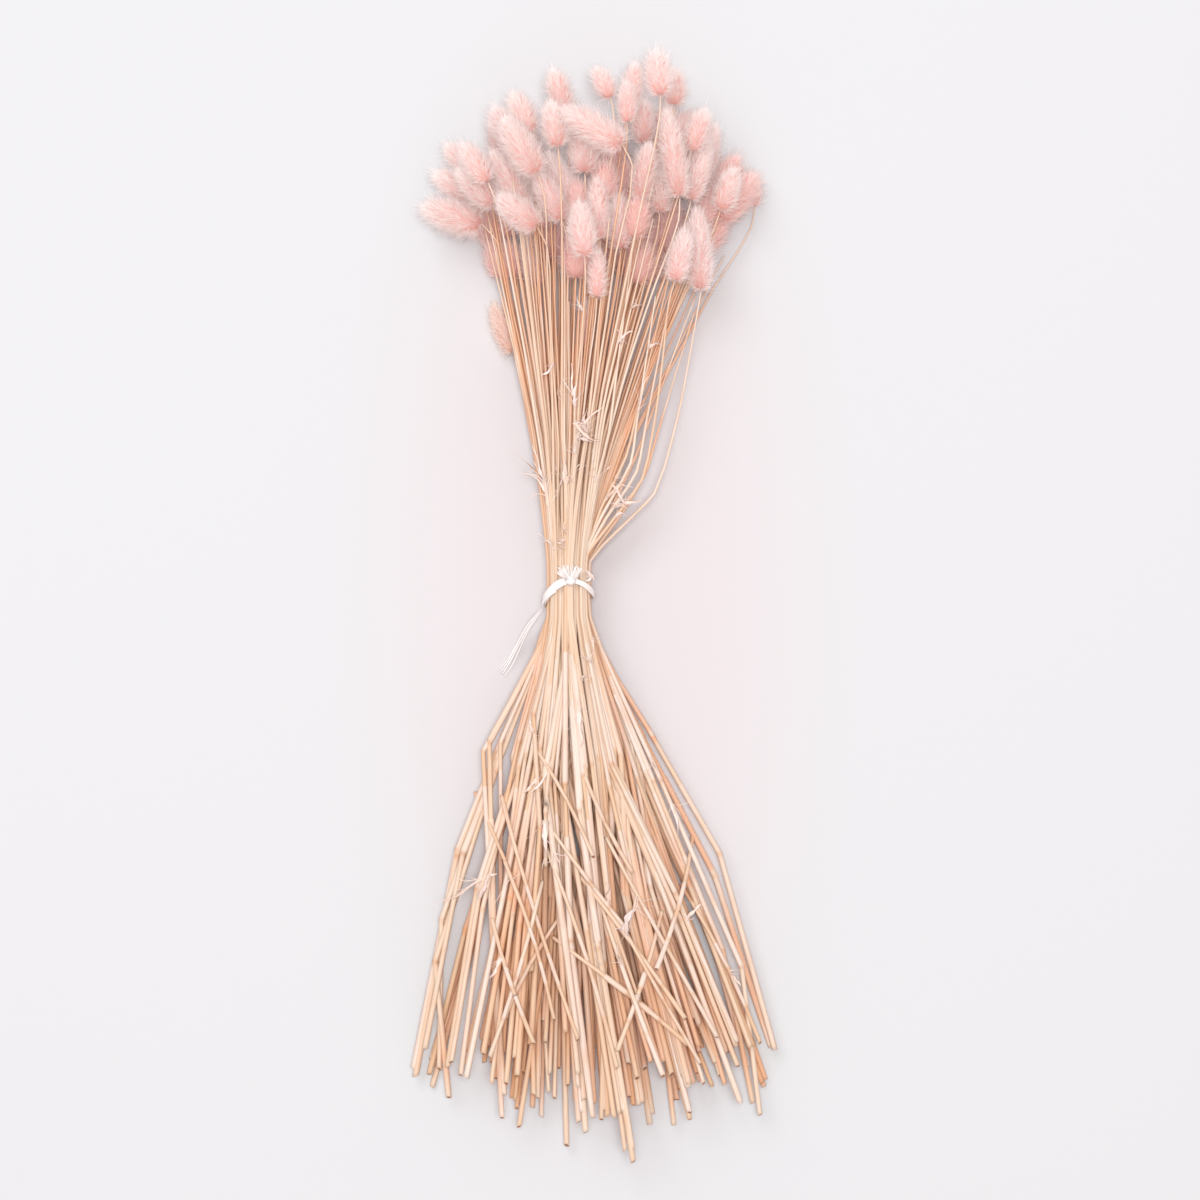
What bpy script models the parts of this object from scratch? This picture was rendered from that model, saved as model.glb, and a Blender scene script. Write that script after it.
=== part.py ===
# Loose bundle of dried bunny tail grass lying on its side: 72 straw stems tied at the waist with a strip
# of raffia, a soft oval seed head at the tip of each stem, and a fan of cut stem ends below the tie.
#
# Axes: +Y along the bundle from the cut ends to the heads, +X to the right as seen from above, +Z up
# from the surface that the bundle lies on. All layout sizes are millimetres, meshes are metres.

import math

import bmesh
import bpy
import numpy as np

MM = 0.001
SEED = 13

# Driving sizes, mm
WAIST_X, WAIST_Z = -15.5, 27.0   # middle of the tied waist
WAIST_LOW, WAIST_HIGH = -9.0, 24.0  # stems run parallel through the tie between these
SHEAF_RING = 10.75               # circle of the eight outer sheaves round the middle one
STEM_END_R = 1.75                # stem radius at a cut end, before its own variation
STEM_WAIST_R = 1.4
STEM_NECK_R = 0.55               # radius just under a head
GAP = 0.35                       # clearance kept between separate pieces
LAYER = 11.0                     # height from one layer of heads to the next
TANGLE = (30.0, 13.0)            # how far stems stray across and up before they reach their cut ends
ORIGIN_SHIFT = (0.11, 0.62, 0.0)  # puts the origin at the middle of the outline, on the surface
RINGS = 11                       # rings along a stem: cut end, two joints, two at the tie, four, neck, top
CORNER = 1.1                     # a four-sided stem's corners stand this much further out than its radius
JOINT = 1.1                      # swelling of a joint
HEAD_LOW = 9.5                   # height of the lowest layer of heads that shows
PRESSED = (-55.0, 70.0)          # stretch along Y where the stems of a sheaf are pressed into each other

# How pieces are moved clear of each other
STATION = 4.0                    # spacing along Y of the places where stems are measured, mm
ROUNDS = 560
CALM = 0.7                       # share of the rounds after which heads are no longer drawn back
FURTHEST = 1.6                   # most that a ring moves in one round, mm
BAR_EXTRA = 5.2                  # how much thicker a bunch counts, at first, than the heads in it, mm
MOBILE = np.array([1.0, 1.0, 1.0, 0.0, 0.0, 1.0, 1.0, 1.0, 1.0, 1.0, 1.0])  # the tie holds two rings

# Heads that show from above: base x, base y, lean from +Y (left is negative), length, layer, width
HEADS = [
    (-64, 223, -74, 37, 1, 20.0), (-59, 234, -46, 31, 3, 17.7), (-72, 239, -60, 29, 1, 15.3),
    (-63, 246, -34, 28, 4, 14.1), (-71, 253, -48, 26, 2, 14.1), (-33, 219, -52, 29, 5, 17.7),
    (-34, 250, -32, 39, 5, 18.8), (-37, 276, -25, 27, 4, 14.1), (-46, 265, -28, 30, 3, 16.5),
    (-40, 231, -32, 42, 3, 15.3), (-29, 221, -31, 37, 2, 15.3), (-19, 224, -28, 33, 4, 15.3),
    (-13, 234, -25, 35, 3, 15.3), (-22, 266, -9, 27, 5, 14.7), (-18, 289, -17, 26, 3, 14.1),
    (16, 266, -59, 42, 6, 18.8), (-6, 252, -5, 28, 4, 17.7), (9, 296, -26, 20, 4, 11.8),
    (19, 280, -1, 25, 5, 10.6), (19, 289, 11, 30, 3, 13.0), (38, 296, -5, 27, 5, 15.9),
    (47, 293, -2, 21, 3, 14.1), (25, 236, 10, 35, 4, 14.1), (37, 229, 0, 36, 3, 15.3),
    (51, 237, -9, 55, 4, 15.3), (58, 265, 17, 26, 3, 14.1), (59, 236, 14, 43, 2, 14.1),
    (64, 246, 13, 39, 1, 13.0), (72, 231, 19, 26, 1, 15.3), (88, 236, -6, 16, 0, 10.5),
    (-6, 201, -6, 33, 6, 15.9), (1, 178, 1, 29, 5, 10.6), (4, 212, -3, 38, 4, 13.0),
    (16, 207, -2, 34, 4, 14.1), (62, 183, -3, 52, 2, 15.3), (48, 188, 13, 33, 3, 14.1),
    (-48, 148, -22, 33, 0, 13.4), (-35, 188, -12, 28, 1, 13.0), (-6, 150, 2, 31, 2, 10.0),
    (29, 271, -3, 27, 2, 14.1),
]

# Bunches of four heads in the two lowest layers: x and y of the bunch's middle base
UNDER = [(-62, 216), (-26, 202), (10, 196), (46, 204), (-40, 254), (9, 254), (42, 262), (68, 230)]
WIDE_HEAD = 15.5                 # heads wider than this have ten sides, the others eight
UNDER_LOW = 6.9                  # height of the lower heads of a bunch
BUNCH = [(-4.2, 0, 0), (4.3, 2, 0.3), (-3.9, 3, 8.0), (4.6, -2, 8.2)]  # each head's place: across, along, up

# Cut ends that show from above, x and y
ENDS = [
    (-107, -283), (-99, -282), (-97, -287), (-87, -295), (-85, -272), (-77, -267), (-76, -281),
    (-64, -265), (-53, -246), (-55, -305), (-47, -269), (-45, -311), (-38, -261), (-32, -307),
    (-28, -291), (-17, -324), (-15, -287), (-9, -257), (-6, -313), (3, -266), (6, -281), (6, -300),
    (12, -275), (16, -286), (21, -322), (26, -298), (34, -306), (40, -283), (47, -312), (51, -291),
    (54, -247), (55, -284), (55, -262), (64, -284), (70, -288), (72, -257), (76, -267), (80, -281),
    (85, -277), (92, -264), (98, -305), (101, -290), (107, -267), (-28, -157), (-1, -152), (-37, -195),
]

LOWEST_END = 1.3                 # height of the middle of the straws that lie flat on the surface

# Stems with a strong bend below the tie: cut end's place in ENDS, then x and y of the bend
BENDS = [(3, -94, -214), (0, -82, -151), (40, 87, -217), (9, -66, -89), (17, -31, -104), (42, 74, -150)]

# Stems that stand off on the right above the tie: head's place in HEADS, then x and y of the bend
OUTLIERS = [(34, 35, 64), (35, 28, 72)]

# Names of the nine sheaves that the stems make under the tie: the middle one, then round it
SHEAVES = ("middle", "right", "right_top", "top", "left_top", "left", "left_low", "low", "right_low")

# Loose dry leaf blades and frayed sheaths: x and y on the stem they grow from, turn from +Y in degrees,
# length, width and lift above the stem
LEAVES = [
    (-12, 95, 32, 27, 2.6, 5), (-19, 118, -12, 22, 2.4, 4), (6, 60, 40, 20, 3.2, 4),
    (18, -172, -168, 34, 3.0, 9), (-66, -163, -125, 34, 2.4, 4), (-33, 70, -25, 24, 2.2, 5),
    (24, 112, 8, 22, 2.4, 5), (-24, -96, -150, 24, 2.4, 5), (44, -118, 160, 26, 2.6, 5),
]


# The tie's tail: turn round the waist in degrees, distance off the band and y, while it leaves the band,
# then points down to the surface, each with the way its flat side looks, then half widths
TAIL_ROUND = [(122, 0.35, 7.0), (146, 0.5, 3.4), (168, 0.8, -0.5), (188, 2.0, -5.5)]
TAIL_DOWN = [
    ((-40.0, -15.5, 16.0), (-0.8, 0.2, 0.5)), ((-45.5, -26.0, 7.5), (-0.6, 0.2, 0.8)),
    ((-50.5, -36.0, 2.6), (-0.3, 0.1, 1.0)), ((-55.5, -44.0, 0.42), (0.0, 0.0, 1.0)),
]
TAIL_HALF = [1.7, 1.7, 1.8, 1.8, 1.7, 1.6, 1.3, 0.8]


# layout of the plants


def head_plan(rng):
    """Base point, axis, length, radius and bunch number of every head."""
    rows = []
    for x, y, lean, length, layer, width in HEADS:
        pitch = math.radians(rng.uniform(-9, 9) - 5 * (layer < 1))
        rows.append((x, y, HEAD_LOW + layer * LAYER, math.radians(lean), pitch, length, width * 0.475, -1))
    for bunch, (x, y) in enumerate(UNDER):
        lean = math.radians(0.42 * x + rng.uniform(-8, 8))
        for across, along, up in BUNCH:
            turn = lean + math.radians(rng.uniform(-5, 5) + 4 * math.copysign(1, across))
            pitch = math.radians(rng.uniform(-3, 3) + (3 if up > 5 else -2))
            rows.append((x + across * math.cos(lean) + along * math.sin(lean),
                         y + along * math.cos(lean) - across * math.sin(lean), UNDER_LOW + up,
                         turn, pitch, rng.uniform(29, 35), rng.uniform(6.9, 7.4), bunch))
    rows = np.array(rows)
    base = rows[:, :3].copy()
    lean, pitch = rows[:, 3], rows[:, 4]
    axis = np.stack([np.sin(lean) * np.cos(pitch), np.cos(lean) * np.cos(pitch), np.sin(pitch)], axis=1)
    return base, axis, rows[:, 5], rows[:, 6], rows[:, 7].astype(int)


def waist_slots():
    """Places of the stems in the tied waist: nine sheaves of eight, one in the middle and eight round it."""
    pattern = [(-1, .866), (0, .866), (1, .866), (-.5, 0), (.5, 0), (-1, -.866), (0, -.866), (1, -.866)]
    step = 1.38 * STEM_WAIST_R
    places, sheaf = [], []
    for k in range(9):
        turn = (k - 1) * math.pi / 4
        ring = SHEAF_RING if k else 0.0
        for u, v in pattern:
            out, side = ring + step * v, step * u
            places.append((out * math.cos(turn) - side * math.sin(turn),
                           out * math.sin(turn) + side * math.cos(turn)))
            sheaf.append(k)
    return np.array(places), np.array(sheaf)


def match(targets, slots):
    """Give each slot one target so that near ones go together: swap pairs while that shortens the sum."""
    spread = targets.std(axis=0)
    aim = (targets - targets.mean(axis=0)) / spread * slots.std(axis=0)
    cost = ((aim[:, None, :] - slots[None, :, :]) ** 2).sum(axis=2)
    order = np.argsort(np.argsort(slots[:, 0]))
    owner = np.argsort(targets[:, 0])[order]
    for _ in range(40):
        changed = False
        for a in range(len(owner)):
            now = cost[owner[a], a] + cost[owner, np.arange(len(owner))]
            then = cost[owner, a] + cost[owner[a], np.arange(len(owner))]
            b = int(np.argmax(now - then))
            if b != a and now[b] - then[b] > 1e-6:
                owner[a], owner[b] = owner[b], owner[a]
                changed = True
        if not changed:
            break
    return owner


def end_plan(rng, count):
    """Cut ends: the listed ones, then more by rule in the middle of the fan, each with a height."""
    ends = list(ENDS)
    while len(ends) < count:
        x = rng.uniform(-74, 92)
        y = rng.uniform(-314, -262) + 0.0012 * x * x
        if min(math.hypot(x - a, y - b) for a, b in ends) > 6.5:
            ends.append((x, y))
    ends = np.array(ends, float)
    rank = np.empty(count)
    order = np.argsort(ends[:, 0], kind="stable")
    for start in range(0, count, 6):                  # each run of six across is spread over the height
        run = order[start:start + 6]
        rank[run] = rng.permutation(len(run)) / (len(run) - 1)
    depth = 50.0 * np.sqrt(np.clip(1 - (ends[:, 0] / 122) ** 2, 0.1, 1))
    return np.column_stack([ends, LOWEST_END + rank * depth])


def stem_plan(rng, base, axis, slots, ends):
    """Ring positions of every stem from cut end to head, before they are moved clear of each other."""
    owner = match(base[:, [0, 2]], slots)             # slot -> head
    loose = ends[:, [0, 2]] + rng.normal(0, 1, (len(ends), 2)) * TANGLE
    foot = match(loose, slots)                        # slot -> cut end
    plain = match(ends[:, [0, 2]], slots)             # the end each stem sets out for at the tie
    lines = np.zeros((len(slots), RINGS, 3))
    for s, place in enumerate(slots):
        head, end = owner[s], ends[foot[s]]
        waist = np.array([WAIST_X + place[0], 0.0, WAIST_Z + place[1]])
        low, high = waist.copy(), waist.copy()
        low[1], high[1] = WAIST_LOW, WAIST_HIGH
        rise = (base[head] - high) / np.linalg.norm(base[head] - high)
        blend = axis[head] * 0.5 + rise * 0.5
        neck = base[head] - blend / np.linalg.norm(blend) * 13.0
        marks = np.array([1.0, 0.66, 0.32]) + np.append(0, rng.uniform(-.05, .05, 2))
        bend = [b for b in BENDS if b[0] == foot[s]]
        for k, m in enumerate(marks):
            p = low + (end - low) * m
            aim = end if k < 2 else 0.3 * end + 0.7 * ends[plain[s]]
            p[0] = low[0] + (aim[0] - low[0]) * m ** (1.2 if aim[0] > low[0] else 1.06)
            p[2] = low[2] + (aim[2] - low[2]) * m
            if bend and 0 < k:
                _, bx, by = bend[0]
                at = (low[1] - by) / (low[1] - end[1])
                if k == 1 + int(at < 0.5):
                    m = at
                    p[1] = by
                    p[2] = low[2] + (end[2] - low[2]) * m
                if m <= at:
                    p[0] = low[0] + (bx - low[0]) * m / at
                else:
                    p[0] = bx + (end[0] - bx) * (m - at) / (1 - at)
            elif k > 0:
                p[0] += rng.normal(0, 4.0)
                p[2] += rng.normal(0, 1.5)
            if k == 1 and end[2] < LOWEST_END + 0.2:
                p[2] = end[2]                         # the lowest straws lie flat on the surface
            lines[s, k] = p
        lines[s, 3], lines[s, 4] = low, high
        marks = np.array([0.17, 0.37, 0.58, 0.80]) + rng.uniform(-.04, .04, 4)
        bend = [b for b in OUTLIERS if b[0] == head]
        for k, m in enumerate(marks):
            if bend and k == 1:
                m = (bend[0][2] - high[1]) / (neck[1] - high[1])
            p = high + (neck - high) * m
            p[0] = high[0] + (neck[0] - high[0]) * m ** 1.28
            p[2] = high[2] + (neck[2] - high[2]) * m ** 1.2
            if bend:
                at = (bend[0][2] - high[1]) / (neck[1] - high[1])
                if m <= at:
                    p[0] = high[0] + (bend[0][1] - high[0]) * m / at
                else:
                    p[0] = bend[0][1] + (neck[0] - bend[0][1]) * ((m - at) / (1 - at)) ** 0.7
            elif k in (1, 2):
                p[[0, 2]] += rng.uniform(-1.6, 1.6, 2)
            lines[s, 5 + k] = p
        lines[s, 9] = neck
        lines[s, 10] = base[head] - axis[head] * 0.35
    return lines, owner


def stem_radii(rng, count):
    """Radius at each ring of each stem."""
    end = STEM_END_R * rng.uniform(0.84, 1.12, count)
    waist = STEM_WAIST_R * rng.uniform(0.95, 1.0, count)
    t = np.array([1.0, 0.9, 0.5, 0, 0, 0, 0, 0, 0, 0, 0])
    u = np.array([0, 0, 0, 0, 0, 0.1, 0.28, 0.5, 0.74, 0.94, 1.0])
    radius = waist[:, None] + (end - waist)[:, None] * t + (STEM_NECK_R - waist)[:, None] * u
    radius[:, 1:3] *= JOINT
    return radius


def head_balls(base, axis, length, radius):
    """Five balls along each head that stand for its outline while pieces are moved clear."""
    t = np.array([0.12, 0.30, 0.50, 0.71, 0.90])
    middle = base[:, None, :] + axis[:, None, :] * (length[:, None] * t)[:, :, None]
    return middle, radius[:, None] * head_profile(t)[None, :] * 1.02


def head_profile(t):
    """Half width of a head along its length as a share of its greatest: an egg, fuller near the base."""
    return np.clip(1 - (2 * np.clip(t, 0, 1) ** 0.8 - 1) ** 2, 0, 1) ** 0.52


def stations(lines):
    """Places along Y where the stems are measured, and each ring's share in a stem's place there."""
    station = np.arange(-328.0, 312.0, STATION)
    ys = lines[:, :, 1]
    share = np.zeros((len(lines), len(station), RINGS))
    live = np.zeros((len(lines), len(station)), bool)
    for s, y in enumerate(ys):
        at = np.clip(np.searchsorted(y, station) - 1, 0, RINGS - 2)
        t = np.clip((station - y[at]) / (y[at + 1] - y[at]), 0, 1)
        share[s, np.arange(len(station)), at] = 1 - t
        share[s, np.arange(len(station)), at + 1] += t
        live[s] = (station >= y[0] - STATION) & (station <= y[-1] + STATION)
    return station, share, live


def near_stems(points, thick, live, sheaf, station):
    """Pairs of stems that come near each other, the stations where they do, and the room they want."""
    one, two = np.triu_indices(len(points), 1)
    apart = points[one] - points[two]
    near = np.hypot(apart[..., 0], apart[..., 1]) < thick[one] + thick[two] + 7.0
    both = live[one] & live[two]
    near &= both
    p, k = np.nonzero((near[:, :-1] | near[:, 1:]) & both[:, :-1] & both[:, 1:])
    a, b = one[p], two[p]
    middle = station[k] + STATION / 2
    same = sheaf[a] == sheaf[b]
    room = np.where(same, 0.05, GAP + 0.2)
    room = np.where(same & (middle > PRESSED[0]) & (middle < PRESSED[1]), -9.0, room)
    room = room + 0.5 * (thick[a, k] + thick[a, k + 1] + thick[b, k] + thick[b, k + 1])
    return a, b, k, room


def share_out(push, hits, who, share, move):
    """Moves a point of a stem by moving the rings on both sides of it, each by its share."""
    scale = share / np.maximum((share * share).sum(axis=1), 0.12)[:, None]
    np.add.at(push, who, scale[:, :, None] * move[:, None, :])
    np.add.at(hits, who, (share > 0.02).astype(float))


def part_stems(points, share, near, push, hits):
    """Pushes stems off each other: both are straight between stations, so the nearest place is exact."""
    a, b, k, room = near
    from_b = points[a, k] - points[b, k]
    run = points[a, k + 1] - points[b, k + 1] - from_b
    length2 = (run * run).sum(axis=1)
    t = np.clip(-(from_b * run).sum(axis=1) / np.maximum(length2, 1e-9), 0, 1)
    closest = from_b + run * t[:, None]
    dist = np.maximum(np.hypot(closest[:, 0], closest[:, 1]), 1e-4)
    slant = np.minimum(np.sqrt(1 + length2 / (2 * STATION) ** 2), 1.25)
    over = np.maximum(room * slant - dist, 0)
    hit = over > 0
    move = 0.5 * over[hit, None] * closest[hit] / dist[hit, None]
    t = t[hit][:, None]
    for who, sign in ((a[hit], 1.0), (b[hit], -1.0)):
        here = share[who, k[hit]] * (1 - t) + share[who, k[hit] + 1] * t
        share_out(push, hits, who, here * MOBILE, sign * move)


def part_heads(balls, ball_r, ball_head, near, push, hits):
    """Pushes heads off each other, sideways and up, where their balls are nearer than the gap."""
    a, b = near
    apart = balls[a] - balls[b]
    dist = np.maximum(np.linalg.norm(apart, axis=1), 1e-4)
    over = ball_r[a] + ball_r[b] + GAP + 0.1 - dist
    hit = over > 0
    side = apart[hit][:, [0, 2]]
    side[:, 1] += np.where(side[:, 1] >= 0, 1e-3, -1e-3)
    across = np.maximum(np.linalg.norm(side, axis=1), 1e-3)
    move = 0.5 * over[hit, None] * side / across[:, None] * np.minimum(dist[hit] / across, 1.6)[:, None]
    move[:, 0] *= 0.6                                 # rather up than sideways
    for who, sign in ((ball_head[a[hit]], 1.0), (ball_head[b[hit]], -1.0)):
        np.add.at(push, who, sign * move)
        np.add.at(hits, who, 1)


def part_stem_and_head(points, thick, share, station, near, middle, girth, ball_head, pushes):
    """Pushes stems out of heads, and the heads a little the other way."""
    ball, s, k = near
    push, hits, head_push, head_hits = pushes
    rel = np.column_stack([points[s, k, 0], station[k], points[s, k, 1]]) - middle
    reach = girth + thick[s, k] + GAP + 0.6
    hit = np.linalg.norm(rel, axis=1) < reach
    rel, reach, s, k, ball = rel[hit], reach[hit], s[hit], k[hit], ball[hit]
    side = rel[:, [0, 2]]
    across = np.maximum(np.linalg.norm(side, axis=1), 1e-3)
    need = np.sqrt(np.maximum(reach ** 2 - rel[:, 1] ** 2, 0)) - across
    move = np.maximum(need, 0)[:, None] * side / across[:, None]
    share_out(push, hits, s, share[s, k] * MOBILE, 0.8 * move)
    np.add.at(head_push, ball_head[ball], -0.35 * move)
    np.add.at(head_hits, ball_head[ball], 1)


def settle(lines, owner, sheaf, radius, base, axis, length, head_r, bunch):
    """Move stems and heads sideways and up until no two separate pieces are nearer than the gap.

    Each round finds how far every ring and head is pushed, moves them, lets each stem spring back a
    little towards its own line, keeps a bunch together and lets nothing sink into the surface. Places
    are rounded to a millionth of a millimetre in each round, so that every computer gets the same.
    """
    count = len(lines)
    station, share, live = stations(lines)
    thick = np.einsum("skf,sf->sk", share, radius * CORNER)
    start = lines[:, :, [0, 2]]
    knots = start.copy()
    lowest_knot = radius * CORNER * math.sqrt(0.5) * 0.983
    slot_of = np.argsort(owner)                       # head -> slot
    shift = np.zeros((count, 2))                      # each head's own move
    balls0, ball_r = head_balls(base, axis, length, head_r)
    per_head = balls0.shape[1]
    lowest_ball = (balls0[:, :, 2] - 0.90 * ball_r).min(axis=1)
    ball_head = np.repeat(np.arange(count), per_head)
    ball_r = ball_r.reshape(-1)
    members = [np.flatnonzero(bunch == b) for b in range(bunch.max() + 1)]
    pull_back = np.where(bunch < 0, 0.10, 0.04)
    one, two = np.triu_indices(count * per_head, 1)
    same_head = ball_head[one] == ball_head[two]
    same_bunch = (bunch[ball_head[one]] == bunch[ball_head[two]]) & (bunch[ball_head[one]] >= 0)
    one, two = one[~same_head & ~same_bunch], two[~same_head & ~same_bunch]
    for step in range(ROUNDS):
        calm = step > ROUNDS * CALM
        points = np.einsum("skf,sfc->skc", share, knots)
        centres = balls0.copy()
        centres[:, :, [0, 2]] += shift[:, None, :]
        balls = centres.reshape(-1, 3)
        if step % 12 == 0:                            # what is near what is found afresh now and then
            stem_pairs = near_stems(points, thick, live, sheaf, station)
            near = np.abs(balls[one] - balls[two]).max(axis=1) < ball_r[one] + ball_r[two] + 6
            head_pairs = one[near], two[near]
            aside = np.hypot(balls[:, None, None, 0] - points[None, :, :, 0],
                             balls[:, None, None, 1] - station[None, None, :])
            above = np.abs(balls[:, None, None, 2] - points[None, :, :, 1])
            close = (aside < ball_r[:, None, None] + 14) & (above < ball_r[:, None, None] + 14) & live
            close &= (np.arange(count)[None, :] != slot_of[ball_head][:, None])[:, :, None]
            ball, s, k = np.nonzero(close)
            # at first a bunch turns away other stems as one thick bar, so that none is caught inside it
            other = (bunch[ball_head[ball]] >= 0) & (bunch[ball_head[ball]] != bunch[owner[s]])
            barred = other & (step < ROUNDS * 0.5)
        push, hits = np.zeros_like(knots), np.zeros((count, RINGS))
        head_push, head_hits = np.zeros((count, 2)), np.zeros(count)
        part_stems(points, share, stem_pairs, push, hits)
        part_heads(balls, ball_r, ball_head, head_pairs, head_push, head_hits)
        middles = centres.copy()
        for rows in members:
            middles[rows] = centres[rows].mean(axis=0)
        middle = np.where(barred[:, None], middles.reshape(-1, 3)[ball], balls[ball])
        girth = ball_r[ball] + np.where(barred, BAR_EXTRA, 0.0)
        part_stem_and_head(points, thick, share, station, (ball, s, k), middle, girth, ball_head,
                           (push, hits, head_push, head_hits))

        push /= np.maximum(hits, 1)[:, :, None] ** 0.75
        head_push /= np.maximum(head_hits, 1)[:, None] ** 0.6
        head_push += 0.25 * (push[slot_of, 9] + push[slot_of, 10])
        shift += np.clip(head_push, -1.5, 1.5)
        if not calm:
            shift[:, 0] -= shift[:, 0] * pull_back * 0.5
            shift[:, 1] -= shift[:, 1] * pull_back * 0.12
        for rows in members:                          # a bunch moves as one
            shift[rows] = shift[rows].mean(axis=0)
        shift[:, 1] += np.maximum(-(lowest_ball + shift[:, 1]), 0)
        for rows in members:
            shift[rows, 1] = shift[rows, 1].max()
        knots[:, :9] += np.clip(1.15 * push[:, :9], -FURTHEST, FURTHEST)
        away = knots - start
        spring = 0.02 if calm else 0.10
        away[:, 1:3] += spring * (0.5 * (away[:, 0:2] + away[:, 2:4]) - away[:, 1:3])
        away[:, 5:9] += spring * (0.5 * (away[:, 4:8] + away[:, 6:10]) - away[:, 5:9])
        if not calm:
            away[:, 0] *= np.array([0.985, 0.995])
        knots = start + away
        knots[:, 9:] = start[:, 9:] + shift[owner][:, None, :]
        knots[:, :, 1] = np.maximum(knots[:, :, 1], lowest_knot)
        knots, shift = np.round(knots, 6), np.round(shift, 6)
    lines, base = lines.copy(), base.copy()
    lines[:, :, [0, 2]] = knots
    base[:, [0, 2]] += shift
    return np.round(lines, 2), np.round(base, 2)


# meshes

SQUARE = ((1, -1), (1, 1), (-1, 1), (-1, -1))
LEAF_HALF = 0.38                 # half thickness of a dry leaf, mm
STRIP_HALF = 0.42                # half thickness of the raffia strip, mm
BAND_THICK = 0.9                 # the strip goes round the waist twice


def make_material(name, colour, roughness):
    material = bpy.data.materials.new(name)
    material.use_nodes = True
    shader = material.node_tree.nodes["Principled BSDF"]
    shader.inputs["Base Color"].default_value = (*colour, 1.0)
    shader.inputs["Roughness"].default_value = roughness
    shader.inputs["Metallic"].default_value = 0.0
    return material


def loft(rings, low_pole=None, high_pole=None):
    """Closed skin over rings of equal count; a pole closes an end to a point, else the ring is capped."""
    count = len(rings[0])
    points = [tuple(p) for ring in rings for p in ring]
    faces = []
    for k in range(len(rings) - 1):
        for j in range(count):
            a, b = k * count + j, k * count + (j + 1) % count
            c, d = b + count, a + count
            if (j + k) % 2:
                faces += [(a, b, d), (b, c, d)]
            else:
                faces += [(a, b, c), (a, c, d)]
    last = (len(rings) - 1) * count
    if low_pole is None:
        faces.append(tuple(range(count - 1, -1, -1)))
    else:
        points.append(tuple(low_pole))
        faces += [(len(points) - 1, (j + 1) % count, j) for j in range(count)]
    if high_pole is None:
        faces.append(tuple(range(last, last + count)))
    else:
        points.append(tuple(high_pole))
        faces += [(len(points) - 1, last + j, last + (j + 1) % count) for j in range(count)]
    return points, faces


def add_object(name, points, faces, material, collection):
    mesh = bpy.data.meshes.new(name)
    shifted = [((x + ORIGIN_SHIFT[0]) * MM, (y + ORIGIN_SHIFT[1]) * MM, (z + ORIGIN_SHIFT[2]) * MM)
               for x, y, z in points]
    mesh.from_pydata(shifted, [], faces)
    bm = bmesh.new()
    bm.from_mesh(mesh)
    bmesh.ops.triangulate(bm, faces=[f for f in bm.faces if len(f.verts) > 3])
    bmesh.ops.recalc_face_normals(bm, faces=bm.faces)
    bm.to_mesh(mesh)
    bm.free()
    mesh.materials.append(material)
    obj = bpy.data.objects.new(name, mesh)
    collection.objects.link(obj)
    return obj


def keep_largest(bm):
    """Drop scraps, and fill hollows sealed by the union, by keeping only the largest connected skin."""
    left, skins = set(bm.verts), []
    while left:
        stack = [left.pop()]
        skin = []
        while stack:
            vert = stack.pop()
            skin.append(vert)
            for edge in vert.link_edges:
                other = edge.other_vert(vert)
                if other in left:
                    left.remove(other)
                    stack.append(other)
        skins.append(skin)
    skins.sort(key=len)
    for skin in skins[:-1]:
        bmesh.ops.delete(bm, geom=skin, context="VERTS")


def fuse(name, shapes, material, collection):
    """One closed body from overlapping closed shapes, by a Boolean union on a collection."""
    helpers = bpy.data.collections.new(name + "_shapes")
    bpy.context.scene.collection.children.link(helpers)
    body = add_object(name, *shapes[0], material, collection)
    for k, shape in enumerate(shapes[1:]):
        helper = add_object(f"{name}_{k}", *shape, material, helpers)
        helper.hide_render = True
        helper.display_type = "WIRE"
    union = body.modifiers.new("union", "BOOLEAN")
    union.operation = "UNION"
    union.operand_type = "COLLECTION"
    union.collection = helpers
    union.solver = "MANIFOLD"
    graph = bpy.context.evaluated_depsgraph_get()
    joined = bpy.data.meshes.new_from_object(body.evaluated_get(graph))
    joined.name = name
    bm = bmesh.new()
    bm.from_mesh(joined)
    keep_largest(bm)
    bmesh.ops.dissolve_limit(bm, angle_limit=math.radians(0.5), verts=bm.verts, edges=bm.edges)
    bmesh.ops.triangulate(bm, faces=bm.faces)
    keep_largest(bm)
    bm.to_mesh(joined)
    bm.free()
    body.modifiers.clear()
    body.data = joined
    for helper in list(helpers.objects):
        bpy.data.objects.remove(helper, do_unlink=True)
    bpy.data.collections.remove(helpers)
    return body


def frame_of(direction):
    """Two directions across a line that runs mostly along Y: one level, one up."""
    d = direction / np.linalg.norm(direction)
    level = np.array([1.0, 0.0, 0.0]) - d[0] * d
    level /= np.linalg.norm(level)
    return level, np.cross(level, d)


def stem_shape(line, radius):
    """Four-sided straw along the line, square to each run."""
    rings = []
    for k, point in enumerate(line):
        before = line[max(k - 1, 0)]
        after = line[min(k + 1, len(line) - 1)]
        level, up = frame_of(after - before)
        half = radius[k] * CORNER * math.sqrt(0.5)
        rings.append([point + level * half * u + up * half * v for u, v in SQUARE])
    return loft(rings)


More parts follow.
